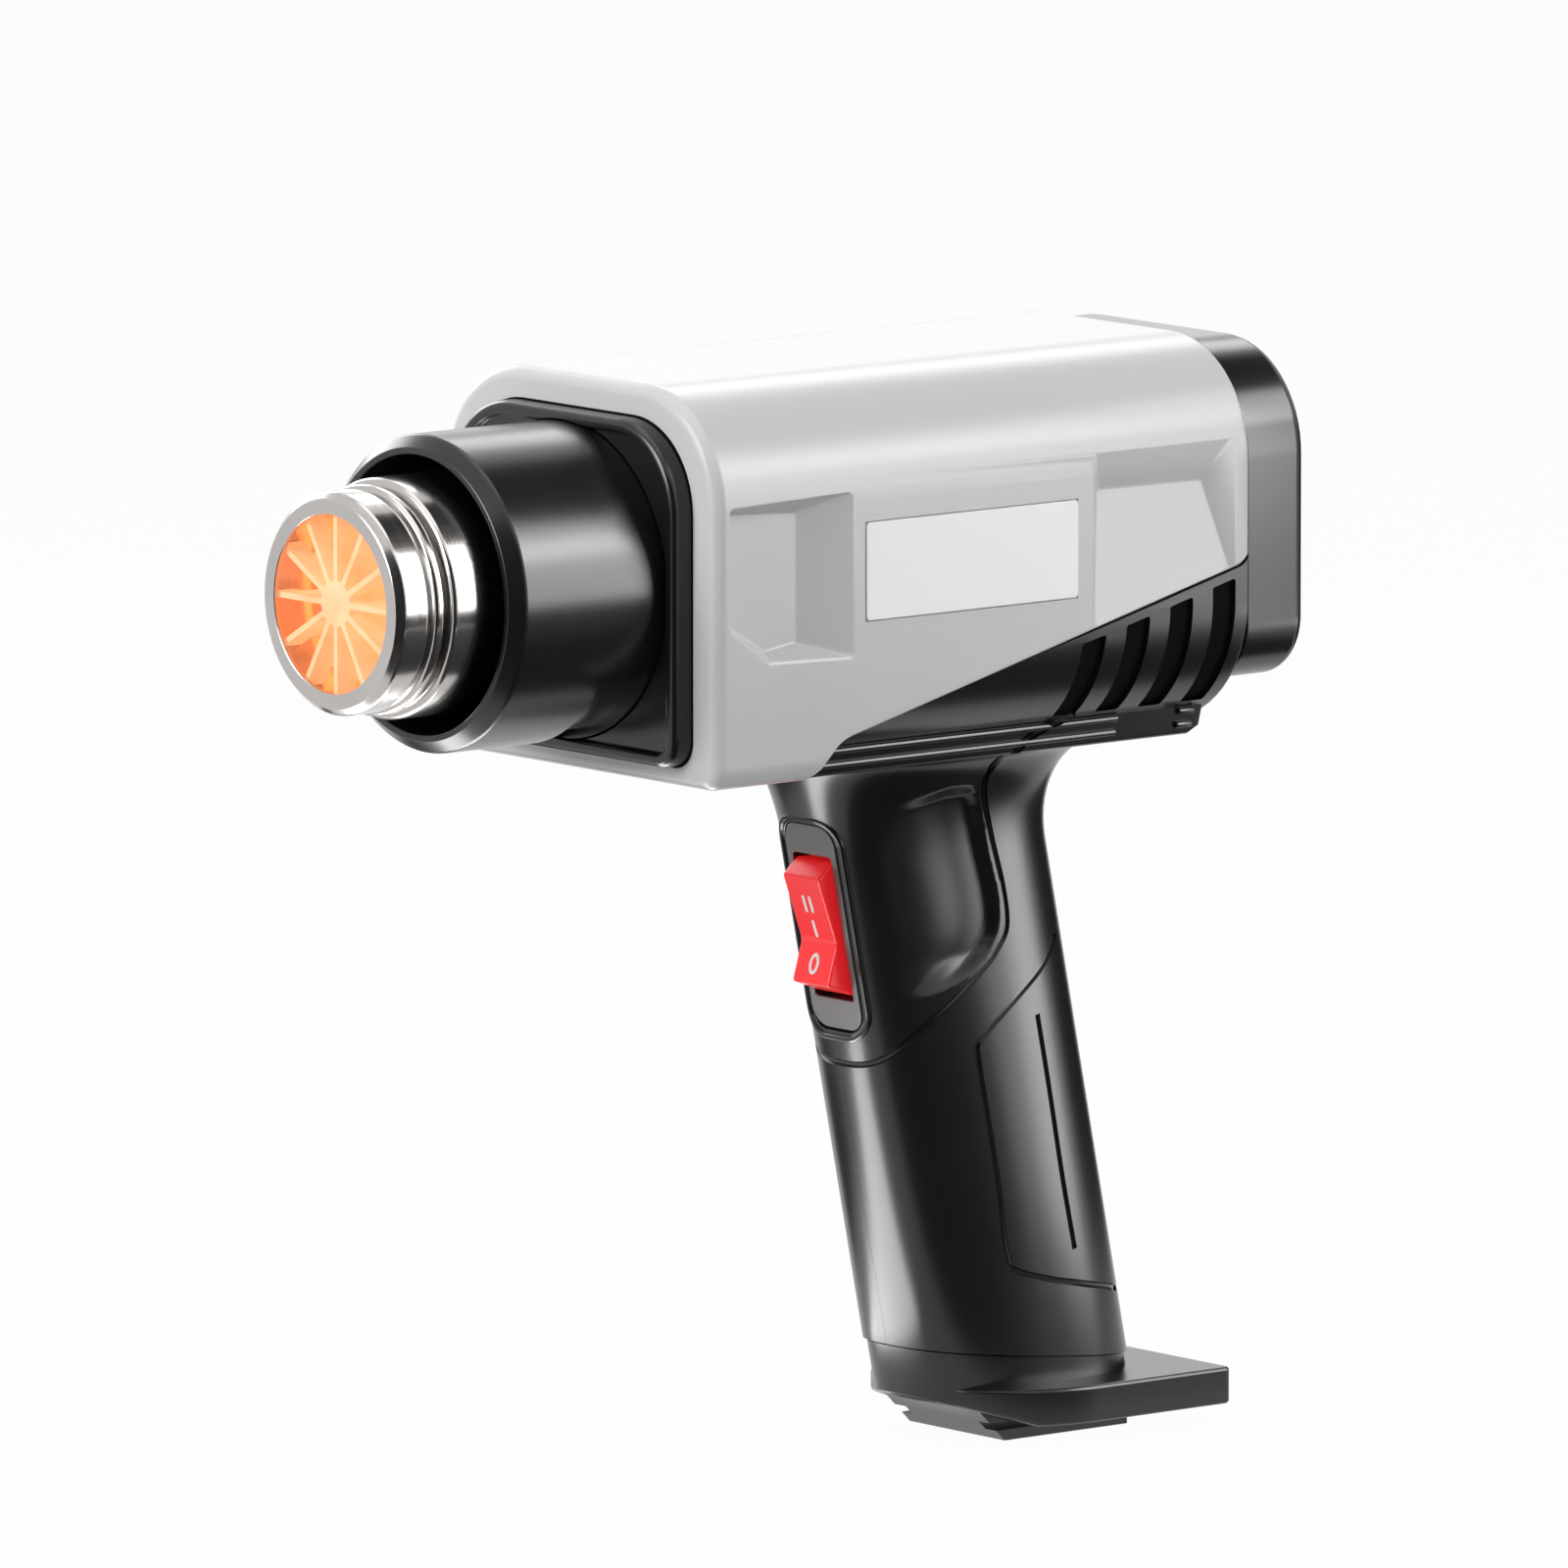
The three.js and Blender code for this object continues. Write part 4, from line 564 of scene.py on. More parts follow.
body = {
    "front": coverHigh.x,
    "rear": coverLow.x,
    "half": coverHigh.y,
    "top": coverHigh.z - axis,
    "bottom": axis - coverLow.z,
    "shoulder": 20.5,
    "chine": 23.5,
    "skirtCorner": 4.0,
    "skirt": 21.5,  # full-depth ring behind the front face
    "hemStart": 28.0,
    "hemFront": 26.9,  # hem below the axis at its front end
    "hemRear": 3.5,
    "hemHeel": 4.5,  # round of the hem's rear corner
    "gap": 0.3,
}
hemCut = {
    "toeRound": 3.0,  # of its corner at the skirt
    "bendRound": 9.0,
    "heelSetback": 0.2,
    "below": 90,  # how far the cutter reaches past the body
    "behind": 40,
    "above": 30,
    "side": 90,
}
wholeTool = {"x": (-90, 160), "side": 90, "z": (-20, 260)}  # a box round all of it
keel = {"depth": 1.4, "width": 56.0, "rear": 1.6, "slope": 2.4, "ramp": 6.0, "edge": 0.7, "draft": 2.4}
bodyFloor = axis - body["bottom"]
keelFloor = bodyFloor - keel["depth"]
keelTop = bodyFloor + body["chine"] / 3


def hemHeight(x):
    run = (body["front"] - body["hemStart"] - x) / (body["front"] - body["rear"] - body["hemStart"])
    return axis - body["hemFront"] + run * (body["hemFront"] - body["hemRear"])


def hemOutline(lift, skirtGap, heel=True):
    # everything under the hem, behind the skirt
    skirt = body["front"] - body["skirt"] - skirtGap
    start = body["front"] - body["hemStart"] - skirtGap
    far = body["rear"] - hemCut["behind"]
    low, high = axis - hemCut["below"], axis + hemCut["above"]
    points = [(skirt, low), (skirt, bodyFloor + lift), (start, hemHeight(start) + lift)]
    radii = [0, hemCut["toeRound"], hemCut["bendRound"]]
    if heel:
        edge = body["rear"] - hemCut["heelSetback"] - skirtGap
        points += [(edge, hemHeight(edge) + lift), (edge, high), (far, high)]
        radii += [body["hemHeel"], 0, 0]
    else:
        points += [(far, hemHeight(far) + lift)]
        radii += [0]
    points += [(far, low)]
    radii += [0]
    return rounded(points, radii, 8)


def underHem(name, lift, skirtGap, heel=True):
    return sidePrism(name, hemOutline(lift, skirtGap, heel), -hemCut["side"], hemCut["side"])


def softHem(name, soft):
    # the same cut, opening a little towards the cover's sides
    stations = [(hemCut["side"], soft)]
    for turn in (0, 22.5, 45, 67.5, 90):
        angle = math.radians(turn)
        stations.append((body["half"] - soft * (1 - math.cos(angle)), soft * (1 - math.sin(angle))))
    across = stations + [(-y, lift) for y, lift in reversed(stations)]
    return loftPiece(name, [[(x, y, z) for x, z in hemOutline(lift, 0)] for y, lift in across])


def bodyPrism(name, inset, lowerRound, rear, front):
    lower = max(lowerRound - inset, 1)
    return sectionPrism(name, body["half"] - inset, inset - body["bottom"], body["top"] - inset, lower,
                        body["shoulder"] - inset, rear, front, steps=16)


# white upper cover

coverShell = {
    "wall": 2.6,
    "frontRound": 2.3,
    "rearRound": 1.2,
    "edge": 0.55,
    "mouthGap": 0.3,
    "mouthDepth": 6.0,
    "pocketDepth": 2.4,
    "pocketRound": 0.8,
    "floorRound": 0.4,
    "backing": 1.6,  # wall behind a pocket's floor
    "padOverlap": 1.0,
    "pads": [  # for that wall: from and to along the tool, low and high on the axis
        (body["front"] - 32.2, body["front"] - 0.4, -14.0, 15.5),
        (body["rear"] + 4.4, body["front"] - 82.0, 1.0, 15.5),
    ],
    # outlines as (behind the front, above the axis)
    "frontRim": [(3.2, 15.2), (30.6, 16.2), (30.6, -12.5), (11.9, -12.0), (3.2, -5.6)],
    "frontFloor": [(3.6, 14.4), (19.5, 13.3), (19.5, -9.3), (12.3, -10.3), (3.6, -4.9)],
    "rearRim": [(84.0, 19.2), (116.8, 19.2)],
    "rearFloor": [(86.9, 11.6), (110.3, 11.4)],
    "hemHeelInset": 2.0,  # the rear floor's corners at the hem
    "hemToeInset": 0.3,
    "hemRise": 0.1,
    "hemDepth": 0.05,
    "label": {"setback": 33.2, "length": 47.4, "height": 17.0, "rise": 2.0, "corner": 0.7, "seat": 0.5,
              "glue": 0.15, "proud": 0.3, "gap": 0.2, "edge": 0.12},
}
collarRing = {
    "reach": 4.1,
    "rim": (6.6, 5.6, 3.6),  # cover shown beside, above and below it
    "round": 16.0,
    "lowerRound": 5.0,
    "bore": 27.85,
    "flange": 2.5,
    "flangeRim": (1.5, 1.8, 0.8),  # beside, above and below the ring
    "panelInset": 2.4,
    "panelDepth": 1.2,
    "panelEdge": 0.6,
    "panelFoot": 0.4,
    "frontRound": 1.3,
}
collarHalf = body["half"] - collarRing["rim"][0]
collarTop = body["top"] - collarRing["rim"][1]
collarBottom = body["bottom"] - collarRing["rim"][2]


def coverPocket(name, rim, floor, depths):
    # the rim lies on the cover's side, the floor at its own depths
    front, half, steps = body["front"], body["half"], 4
    corners = rounded(rim, coverShell["pocketRound"], steps)
    floorCorners = rounded(floor, coverShell["pocketRound"], steps)
    deeps = [depth for depth in depths for _ in range(steps + 1)]
    edge = [Vector((front - back, half, axis + up)) for back, up in corners]
    out = [Vector((-step.x, 0, step.y)) for step in outwardSteps(corners)]
    base = [Vector((front - back, half - deep, axis + up)) for (back, up), deep in zip(floorCorners, deeps)]
    lift = Vector((0, 2, 0))
    return softPocket(name, edge, out, base, lift, coverShell["edge"], coverShell["floorRound"])


def labelBox(grow):
    # a label's place on the cover's side, grown all round
    label = coverShell["label"]
    x1 = body["front"] - label["setback"] + grow
    x0 = x1 - label["length"] - 2 * grow
    z0 = axis + label["rise"] - label["height"] / 2 - grow
    return x0, x1, z0, z0 + label["height"] + 2 * grow


def makeCover():
    form = coverShell
    front, rear, half = body["front"], body["rear"], body["half"]
    wall, deep, gap = form["wall"], form["pocketDepth"], form["mouthGap"]
    obj = bodyPrism("coverShell", 0, body["skirtCorner"], rear, front)
    rimRound(obj, front, form["frontRound"], 6)
    rimRound(obj, rear, form["rearRound"], 4)
    carve(obj, bodyPrism("room", wall, body["skirtCorner"], rear - 1, front - wall))
    for start, end, low, high in form["pads"]:
        pad = blockPiece("pad", start, end, half - deep - form["backing"], half - form["padOverlap"],
                         axis + low, axis + high)
        carveBoth(obj, pad, "UNION")
    mouth = sectionPrism("mouth", collarHalf + gap, -collarBottom - gap, collarTop + gap,
                         collarRing["lowerRound"], collarRing["round"], front - form["mouthDepth"], front + 1,
                         steps=14)
    carve(obj, mouth)
    carveBoth(obj, coverPocket("pocket", form["frontRim"], form["frontFloor"], [deep] * 5))
    # the rear pocket runs out at the hem
    hemAt = lambda back: hemHeight(front - back) - axis
    toe, heel = form["rearRim"][0][0], form["rearRim"][1][0]
    floorToe, floorHeel = toe + form["hemToeInset"], heel - form["hemHeelInset"]
    rearRim = form["rearRim"] + [(heel, hemAt(heel)), (toe, hemAt(toe))]
    rearFloor = form["rearFloor"] + [(floorHeel, hemAt(floorHeel) + form["hemRise"]),
                                     (floorToe, hemAt(toe) + form["hemRise"])]
    depths = [deep, deep, form["hemDepth"], form["hemDepth"]]
    carveBoth(obj, coverPocket("pocket", rearRim, rearFloor, depths))
    x0, x1, z0, z1 = labelBox(form["label"]["gap"])
    carveBoth(obj, blockPiece("seat", x0, x1, half - form["label"]["seat"], half + 1, z0, z1))
    carve(obj, softHem("hem", form["edge"]))
    tidyMesh(obj)
    finishPiece(obj, finishes["whiteCover"], "tool_body", ["upper_cover"])


def makeLabels():
    label = coverShell["label"]
    x0, x1, z0, z1 = labelBox(0)
    points = rounded(rectangle(x0, z0, x1, z1), label["corner"], 4)
    low, high = body["half"] - label["seat"] + label["glue"], body["half"] + label["proud"]
    left = sidePrism("leftLabelPlate", points, low, high)
    softEdges(left, label["edge"], 2)
    right = copyOf(left, "rightLabelPlate", True)
    finishPiece(left, finishes["labelCard"], "tool_body", ["left_label_plate"])
    finishPiece(right, finishes["labelCard"], "tool_body", ["right_label_plate"])


makeCover()
makeLabels()
print("cover and labels made")


# black housing halves with the grip

grip = {
    "depth": 48.4,
    "width": 34.0,
    "power": 2.5,
    "lean": 11.5,
    "rootX": 1.4,
    "flareFront": 5.0,
    "flareRear": 16.0,
    "flareHeight": 18.0,
    "flareSide": 0.7,  # share of the flare sideways, which keeps it under the rails
    "seamHeight": 14.5,
    "seamTilt": 5.8,
    "wall": 2.4,
    "grooveRadius": 0.65,
    "parting": 0.02,  # half the gap between the halves
    "ventRadius": 1.25,  # the wider line from the foremost vent
    "ventSink": 0.5,
    "ventStart": (10.4, 28.6, 28.2),  # where it leaves the vent: along, across, below the axis
    "ventEnd": [(15.2, 30.4), (19.3, 32.4), (21.4, 35.0)],  # then along and below the axis
    # design lines as (turn round the section, height)
    "ventLine": [(97, 120.9), (95.3, 118.0), (96.5, 114.0), (98.4, 109.9), (100, 104.5), (101, 99.9)],
    "sweepLine": [(96.5, 114.0), (98.4, 109.9), (100, 104.5), (101, 99.9), (101, 94.5), (99, 91.0),
                  (93, 88.1), (88, 86.1), (77, 82.9), (68, 80.1), (57, 76.8), (49, 74.3), (41, 71.9),
                  (34, 70.2), (26, 68.9), (17, 68.2), (8, 68.0), (0, 68.0)],
    "panelLine": [(132, 88.6), (118, 84.1), (98, 78.7), (81, 73.7), (75, 71.6), (74, 69.0), (74, 59.4),
                  (74, 47.8), (73, 39.3), (73, 33.0), (76, 30.7), (92, 28.5), (110, 26.8), (134, 24.7),
                  (150, 23.4)],
    "spineLine": [(109, 75.5), (109, 61.8), (108.5, 46.2), (109, 33.1)],
}
housing = {
    "rearRound": 0.8,
    "tongueRise": 4.5,
    "tongueReach": 60,
    "bulkhead": (86.5, 89.5),
    "bulkheadHalf": 33.0,
    "bulkheadBore": 21.1,
    "screwWell": 3.3,
    "screwSeat": 0.2,
    "creaseAngle": 38,
}
vent = {"count": 4, "width": 5.2, "pitch": 9.7, "setback": 3.4, "belowHem": 1.9, "bottom": 28.6,
        "corner": 0.5, "across": (24, 60)}
# dark sheets just inside the vents: painted shade where the inside of the body would lie
shadeSheet = {"depth": 0.8, "wall": 0.8, "belowHem": 0.8, "run": (2, 41), "middle": 16}
trimRail = {"drops": (30.5, 33.0), "width": 1.2, "height": 0.8, "gap": (21.4, 7.6), "round": 0.58,
            "endRound": 0.25}
lean = math.radians(grip["lean"])
screwPlaces = [span("housing_screw_" + number) for number in "123"]


def gripCentre(z):
    return grip["rootX"] + math.tan(lean) * z


def flareShare(z):
    # how far the fillet into the body has opened at this height
    rise = 1 - (keelFloor - z) / grip["flareHeight"]
    rise = min(max(rise, 0), 1)
    return 1 - math.sqrt(1 - rise * rise)


def gripPoint(turn, z, inset, flare):
    forward, sideways = math.cos(turn), math.sin(turn)
    power = grip["power"]
    bulge = (abs(forward) ** power + abs(sideways) ** power) ** (-1 / power)
    opened = flare * (grip["flareRear"] + (grip["flareFront"] - grip["flareRear"]) * (1 + forward) / 2)
    x = gripCentre(z) + forward * (bulge * (grip["depth"] / 2 - inset) + opened)
    y = sideways * (bulge * (grip["width"] / 2 - inset) + opened * grip["flareSide"])
    return Vector((x, y, z))


def gripSkin(x, z):
    # half width of the grip's outside at this place
    low, high = 0.0, math.pi
    for _ in range(40):
        middle = (low + high) / 2
        if gripPoint(middle, z, 0, flareShare(z)).x > x:
            low = middle
        else:
            high = middle
    return gripPoint(low, z, 0, flareShare(z)).y


def gripForm(name, inset, heights, flared, segments=128):
    # a ring drawn up through the heights, then set to the grip's section
    clearSelection()
    bpy.ops.mesh.primitive_circle_add(vertices=segments, radius=10 * mm, fill_type="NGON",
                                      location=(0, 0, heights[0] * mm))
    obj = named(name)
    settle()
    startEdit(obj)
    selectAll()
    for low, high in zip(heights, heights[1:]):
        drawOut((0, 0, (high - low) * mm))
    mesh = bmesh.from_edit_mesh(obj.data)
    for vert in mesh.verts:
        z = vert.co.z / mm
        flare = flareShare(z) if flared else 0
        vert.co = gripPoint(math.atan2(vert.co.y, vert.co.x), z, inset, flare) * mm
    bmesh.update_edit_mesh(obj.data)
    outwards()
    return obj


def trimAtSeam(obj, keepAbove, gap):
    # the tilted parting between grip and shoe
    tilt = math.radians(grip["seamTilt"])
    normal = Vector((-math.sin(tilt), 0, math.cos(tilt)))
    point = Vector((gripCentre(grip["seamHeight"]), 0, grip["seamHeight"])) + normal * gap
    startEdit(obj)
    selectAll()
    bpy.ops.mesh.bisect(plane_co=point * mm, plane_no=normal, use_fill=True, clear_inner=keepAbove,
                        clear_outer=not keepAbove)
    outwards()


def onGrip(obj, drop):
    # from the switch's own frame, x out of the grip's front, to its place
    z = axis - drop
    pick(obj)
    obj.rotation_euler = (0, lean, 0)
    obj.location = Vector((gripCentre(z), 0, z)) * mm
    settle()
    return obj


def smoothPath(points, steps=5):
    # a smooth run through the points
    out = []
    for i in range(len(points) - 1):
        a = points[max(i - 1, 0)]
        b, c = points[i], points[i + 1]
        d = points[min(i + 2, len(points) - 1)]
        for k in range(steps):
            t = k / steps
            out.append(0.5 * (2 * b + (c - a) * t + (2 * a - 5 * b + 4 * c - d) * t ** 2
                              + (3 * b - a - 3 * c + d) * t ** 3))
    return out + [points[-1]]


def onSkin(line, sink=0):
    return [gripPoint(math.radians(turn), z, sink, flareShare(z)) for turn, z in line]


def grooveTool(name, places, radius, endShare=1, closed=False):
    # a round bar laid along a design line on the grip, thinner towards its end
    clearSelection()
    bpy.ops.curve.primitive_nurbs_path_add()
    obj = named(name)
    obj.data.splines.clear()
    spline = obj.data.splines.new("POLY")
    spline.points.add(len(places) - 1)
    spline.use_cyclic_u = closed
    for i, (point, place) in enumerate(zip(spline.points, places)):
        point.co = (*(place * mm), 1)
        point.radius = 1 + (endShare - 1) * i / (len(places) - 1)
    obj.data.bevel_depth = radius * mm
    obj.data.bevel_resolution = 2
    obj.data.use_fill_caps = True
    obj.location = (0, 0, 0)
    pick(obj)
    bpy.ops.object.convert(target="MESH")
    made = bpy.context.object
    startEdit(made)
    selectAll()
    bpy.ops.mesh.remove_doubles(threshold=weld / 2 * mm)
    outwards()
    return made


switchBay = {
    "drop": 61.6,
    "height": 38.0,
    "width": 14.0,
    "round": 4.0,
    "floor": 22.4,
    "windowHalf": 13.2,
    "windowWidth": 10.6,
    "windowRound": 0.6,
    "windowRun": (5, 60),  # out from the grip's middle
    "backing": (0.5, 1.0, 2.2),  # wider, taller and thicker than the bay
    "overlap": 0.05,
    "bezel": 0.5,
    "bezelGap": 0.35,
    "bezelEdge": 0.15,
    "edge": 0.5,
    "foot": 0.3,
    "bead": 0.6,  # raised border round the bay
    "beadOffset": 1.05,
}


def switchPrism(name, halfWidth, halfHeight, corner, deep, out):
    obj = sectionPrism(name, halfWidth, -halfHeight, halfHeight, corner, corner, deep, out, middle=0, steps=8)
    return onGrip(obj, switchBay["drop"])


def bayOutline(grow):
    # the bay's outline on the grip's front, and which way is out
    bay = switchBay
    corner, tall, wide = bay["round"] + grow, bay["height"] / 2 + grow, bay["width"] / 2 + grow
    outline = rounded(rectangle(-wide, -tall, wide, tall), corner, 8)
    power = grip["power"]
    bulge = lambda y: grip["depth"] / 2 * (1 - (abs(y) / (grip["width"] / 2)) ** power) ** (1 / power)
    edge = [Vector((bulge(y) * math.cos(lean), y, s)) for y, s in outline]
    return edge, [Vector((0, step.x, step.y)) for step in outwardSteps(outline)]


def bayBead(name):
    edge, _ = bayOutline(switchBay["beadOffset"])
    return onGrip(grooveTool(name, edge, switchBay["bead"], closed=True), switchBay["drop"])


def bayCutter(name):
    # the switch bay, its rim eased into the grip's front
    bay = switchBay
    edge, out = bayOutline(0)
    base = [Vector((bay["floor"], point.y, point.z)) for point in edge]
    return onGrip(softPocket(name, edge, out, base, Vector((8, 0, 0)), bay["edge"], bay["foot"]), bay["drop"])


thumb = {
    # its rear edge, as (height, place along the tool)
    "rim": [(74.5, 46.0), (77.0, 40.0), (79.6, 31.6), (82.7, 25.4), (86.1, 21.0), (89.4, 18.4), (92.6, 17.2),
            (97.3, 17.5), (103.0, 19.0), (110.6, 21.2), (115.8, 23.2), (121.0, 25.4)],
    "depth": 1.95,
    "lift": 0.08,  # of the floor over the skin, where the pocket has run out
    "roof": 9.0,  # top of the cutter over the skin
    "wall": 2.6,  # width of the sloped rear wall
    "wallShare": 0.5,  # the most that it takes of the pocket's length
    "fade": 7.0,  # where the floor starts to rise ahead
    "fadeShare": 0.2,
    "front": 21.2,  # where it has run out, ahead of the grip's middle
    "foot": (79.4, 88.0),  # the same for its lower end
    "crest": 118.4,  # top edge
    "crestWidth": 3.4,
    "fall": 0.23,  # how far the top rows fall ahead
    "fallStart": 6.0,
    "fallHeights": (100.0, 114.0),
    "rows": (0.7, 48),  # step and count of the rows from the foot up
    "topRows": (113.2, 0.35, 18),
    "slantReach": 1.5,
    "behind": [-1.2, -0.4],  # columns behind the rear edge
    "wallColumns": 8,
    "floorColumns": 24,
}


def ease(value, start, end):
    # 0 before start, 1 after end, smooth between
    share = min(max((value - start) / (end - start), 0), 1)
    return share * share * (3 - 2 * share)


def thumbDepth(step, z, fadeStart, fadeEnd):
    form = thumb
    deep = form["depth"] * ease(step, 0, form["wall"]) * (1 - ease(step, fadeStart, fadeEnd))
    return deep * (ease(form["crest"] - z, 0, form["crestWidth"]) * ease(z, *form["foot"]))


def thumbCutter(name):
    # the thumb pocket, deep at its sloped rear wall and running out ahead and below
    form = thumb
    wall, reach = form["wall"], form["slantReach"]
    rim = smoothPath([Vector((x, z)) for z, x in form["rim"]], 12)
    rimAt = lambda height: min(rim, key=lambda point: abs(point.y - height))
    rise, count = form["rows"]
    topStart, topRise, topCount = form["topRows"]
    heights = [form["foot"][0] + rise * i for i in range(count)]
    heights += [topStart + topRise * i for i in range(topCount)]
    rings = []
    for z in heights:
        rear, before, after = rimAt(z), rimAt(z - reach), rimAt(z + reach)
        slant = math.hypot(1, (after.x - before.x) / max(after.y - before.y, 0.1))
        room = gripCentre(z) + form["front"] - rear.x
        stretch = min(slant, form["wallShare"] * room / wall)
        ahead = room - wall * stretch
        fadeStart = min(form["fade"], wall + form["fadeShare"] * ahead)
        columns = form["wallColumns"]
        steps = form["behind"] + [wall * i / columns for i in range(columns + 1)]
        columns = form["floorColumns"]
        steps += [wall + ahead * i / columns for i in range(1, columns + 1)]
        floor, roof = [], []
        for step in steps:
            x = rear.x + min(step, wall) * stretch + max(step - wall, 0)
            drop = form["fall"] * max(step - form["fallStart"], 0) * ease(z, *form["fallHeights"])
            skin = gripSkin(x, z - drop)
            deep = thumbDepth(step, z, fadeStart, wall + ahead)
            floor.append((x, skin + form["lift"] - deep, z - drop))
            roof.append((x, skin + form["roof"], z - drop))
        rings.append(floor + roof[::-1])
    return loftPiece(name, rings)


def keelHalf(z):
    # half width of the keel, which narrows downwards
    return keel["width"] / 2 - keel["draft"] * (keelTop - z) / (keelTop - keelFloor)


def makeKeel():
    form = keel
    back = body["rear"] + form["rear"]
    nose = body["front"] - body["skirt"] - body["gap"]
    half = form["width"] / 2
    side = [(back, keelTop), (nose, keelTop), (nose, bodyFloor), (nose - form["ramp"], keelFloor),
            (back + form["slope"], keelFloor), (back, bodyFloor)]
    obj = sidePrism("keel", side, -half, half)
    startEdit(obj)
    mesh = bmesh.from_edit_mesh(obj.data)
    for vert in mesh.verts:
        vert.co.y = math.copysign(keelHalf(vert.co.z / mm) * mm, vert.co.y)
    bmesh.update_edit_mesh(obj.data)
    endEdit()
    bevelWhere(obj, form["edge"], 4, lambda a, b: a.y * b.y > 0 and min(a.z, b.z) < bodyFloor + near)
    return obj


def bodyHalf():
    # the lower body with its tongue inside the cover, and the keel
    front, rear, gap = body["front"], body["rear"], body["gap"]
    obj = bodyPrism("housing", 0, body["chine"], rear, front - body["skirt"])
    rimRound(obj, rear, housing["rearRound"], 3)
    carve(obj, underHem("hem", -gap, gap), "INTERSECT")
    tongue = bodyPrism("tongue", coverShell["wall"] + gap, body["chine"], rear, housing["bulkhead"][1])
    carve(tongue, underHem("tongueHem", housing["tongueRise"], -housing["tongueReach"], False), "INTERSECT")
    carve(obj, tongue, "UNION")
    return carve(obj, makeKeel(), "UNION")


def makeHandle():
    flare = grip["flareHeight"]
    heights = [z for z in range(8, 116, 4) if z < keelFloor - flare - 1]
    heights += [keelFloor - flare * (1 - math.sin(math.radians(6 * i))) for i in range(16)]
    heights += [keelFloor + grip["wall"]]
    handle = gripForm("handle", 0, heights, True)
    carveBoth(handle, thumbCutter("thumb"))
    trimAtSeam(handle, True, body["gap"] / 2)
    return handle


def addRails(obj):
    rail = trimRail
    rear, gap, tall = body["rear"], body["gap"], rail["width"] / 2
    runs = [(rear + keel["rear"] + keel["slope"], rear + rail["gap"][1]),
            (rear + rail["gap"][0], body["front"] - body["skirt"] - gap - rail["height"])]
    for drop in rail["drops"]:
        for start, end in runs:
            bar = sectionPrism("rail", rail["height"], -tall, tall, rail["round"], rail["round"], start, end,
                               middle=0, steps=6)
            rimRound(bar, end, rail["endRound"], 3)
            rimRound(bar, start, rail["endRound"], 3)
            pick(bar)
            bar.location = (0, keelHalf(axis - drop) * mm, (axis - drop) * mm)
            settle()
            carve(bar, underHem("hem", -gap, gap), "INTERSECT")
            carveBoth(obj, bar, "UNION")


def hollow(obj):
    # hollow it, then close the front behind the shroud
    rear, gap, wall = body["rear"], body["gap"], grip["wall"]
    inset = coverShell["wall"] + gap
    back, front = housing["bulkhead"]
    half = housing["bulkheadHalf"]
    carve(obj, bodyPrism("room", inset + wall, body["chine"], rear - 1, back))
    lowerRoom = bodyPrism("room", wall, body["chine"], rear + wall, body["front"] - body["hemStart"] - wall)
    carve(lowerRoom, underHem("hem", -gap - wall, gap, False), "INTERSECT")
    carve(obj, lowerRoom)
    plate = bodyPrism("bulkhead", inset, body["skirtCorner"], back, front)
    carve(plate, blockPiece("trim", *wholeTool["x"], -half, half, *wholeTool["z"]), "INTERSECT")
    hole = pegPiece("hole", housing["bulkheadBore"], (back - 1, 0, axis), (front + 1, 0, axis), "x", 64)
    carve(plate, hole)
    carve(obj, plate, "UNION")
    carve(obj, gripForm("gripRoom", wall, [5, bodyFloor + 2 * wall], False, 96))


def cutBay(obj):
    bay = switchBay
    wider, taller, thick = bay["backing"]
    backing = switchPrism("backing", bay["width"] / 2 + wider, bay["height"] / 2 + taller, bay["round"],
                          bay["floor"] - thick, bay["floor"] - bay["overlap"])
    carve(obj, backing, "UNION")
    carve(obj, bayBead("bead"), "UNION")
    carve(obj, bayCutter("recess"))
    window = switchPrism("window", bay["windowWidth"] / 2, bay["windowHalf"], bay["windowRound"],
                         *bay["windowRun"])
    carve(obj, window)


def cutVents(obj):
    # air vents through the chine
    low = axis - vent["bottom"]
    for i in range(vent["count"]):
        x0 = body["rear"] + vent["setback"] + i * vent["pitch"]
        x1 = x0 + vent["width"]
        top0, top1 = hemHeight(x0) - vent["belowHem"], hemHeight(x1) - vent["belowHem"]
        points = rounded([(x0, low), (x1, low), (x1, top1), (x0, top0)], vent["corner"], 4)
        carveBoth(obj, sidePrism("vent", points, *vent["across"]))


def cutLines(obj):
    sink, radius = grip["ventSink"], grip["grooveRadius"]
    x, y, drop = grip["ventStart"]
    places = [Vector((x, y, axis - drop))]
    for x, drop in grip["ventEnd"]:
        places.append(Vector((x, keelHalf(axis - drop) - sink, axis - drop)))
    ventPath = smoothPath(places + onSkin(grip["ventLine"], sink))
    carveBoth(obj, grooveTool("ventLine", ventPath, grip["ventRadius"], radius / grip["ventRadius"]))
    for lineName in ("sweepLine", "panelLine", "spineLine"):
        carveBoth(obj, grooveTool(lineName, smoothPath(onSkin(grip[lineName])), radius))


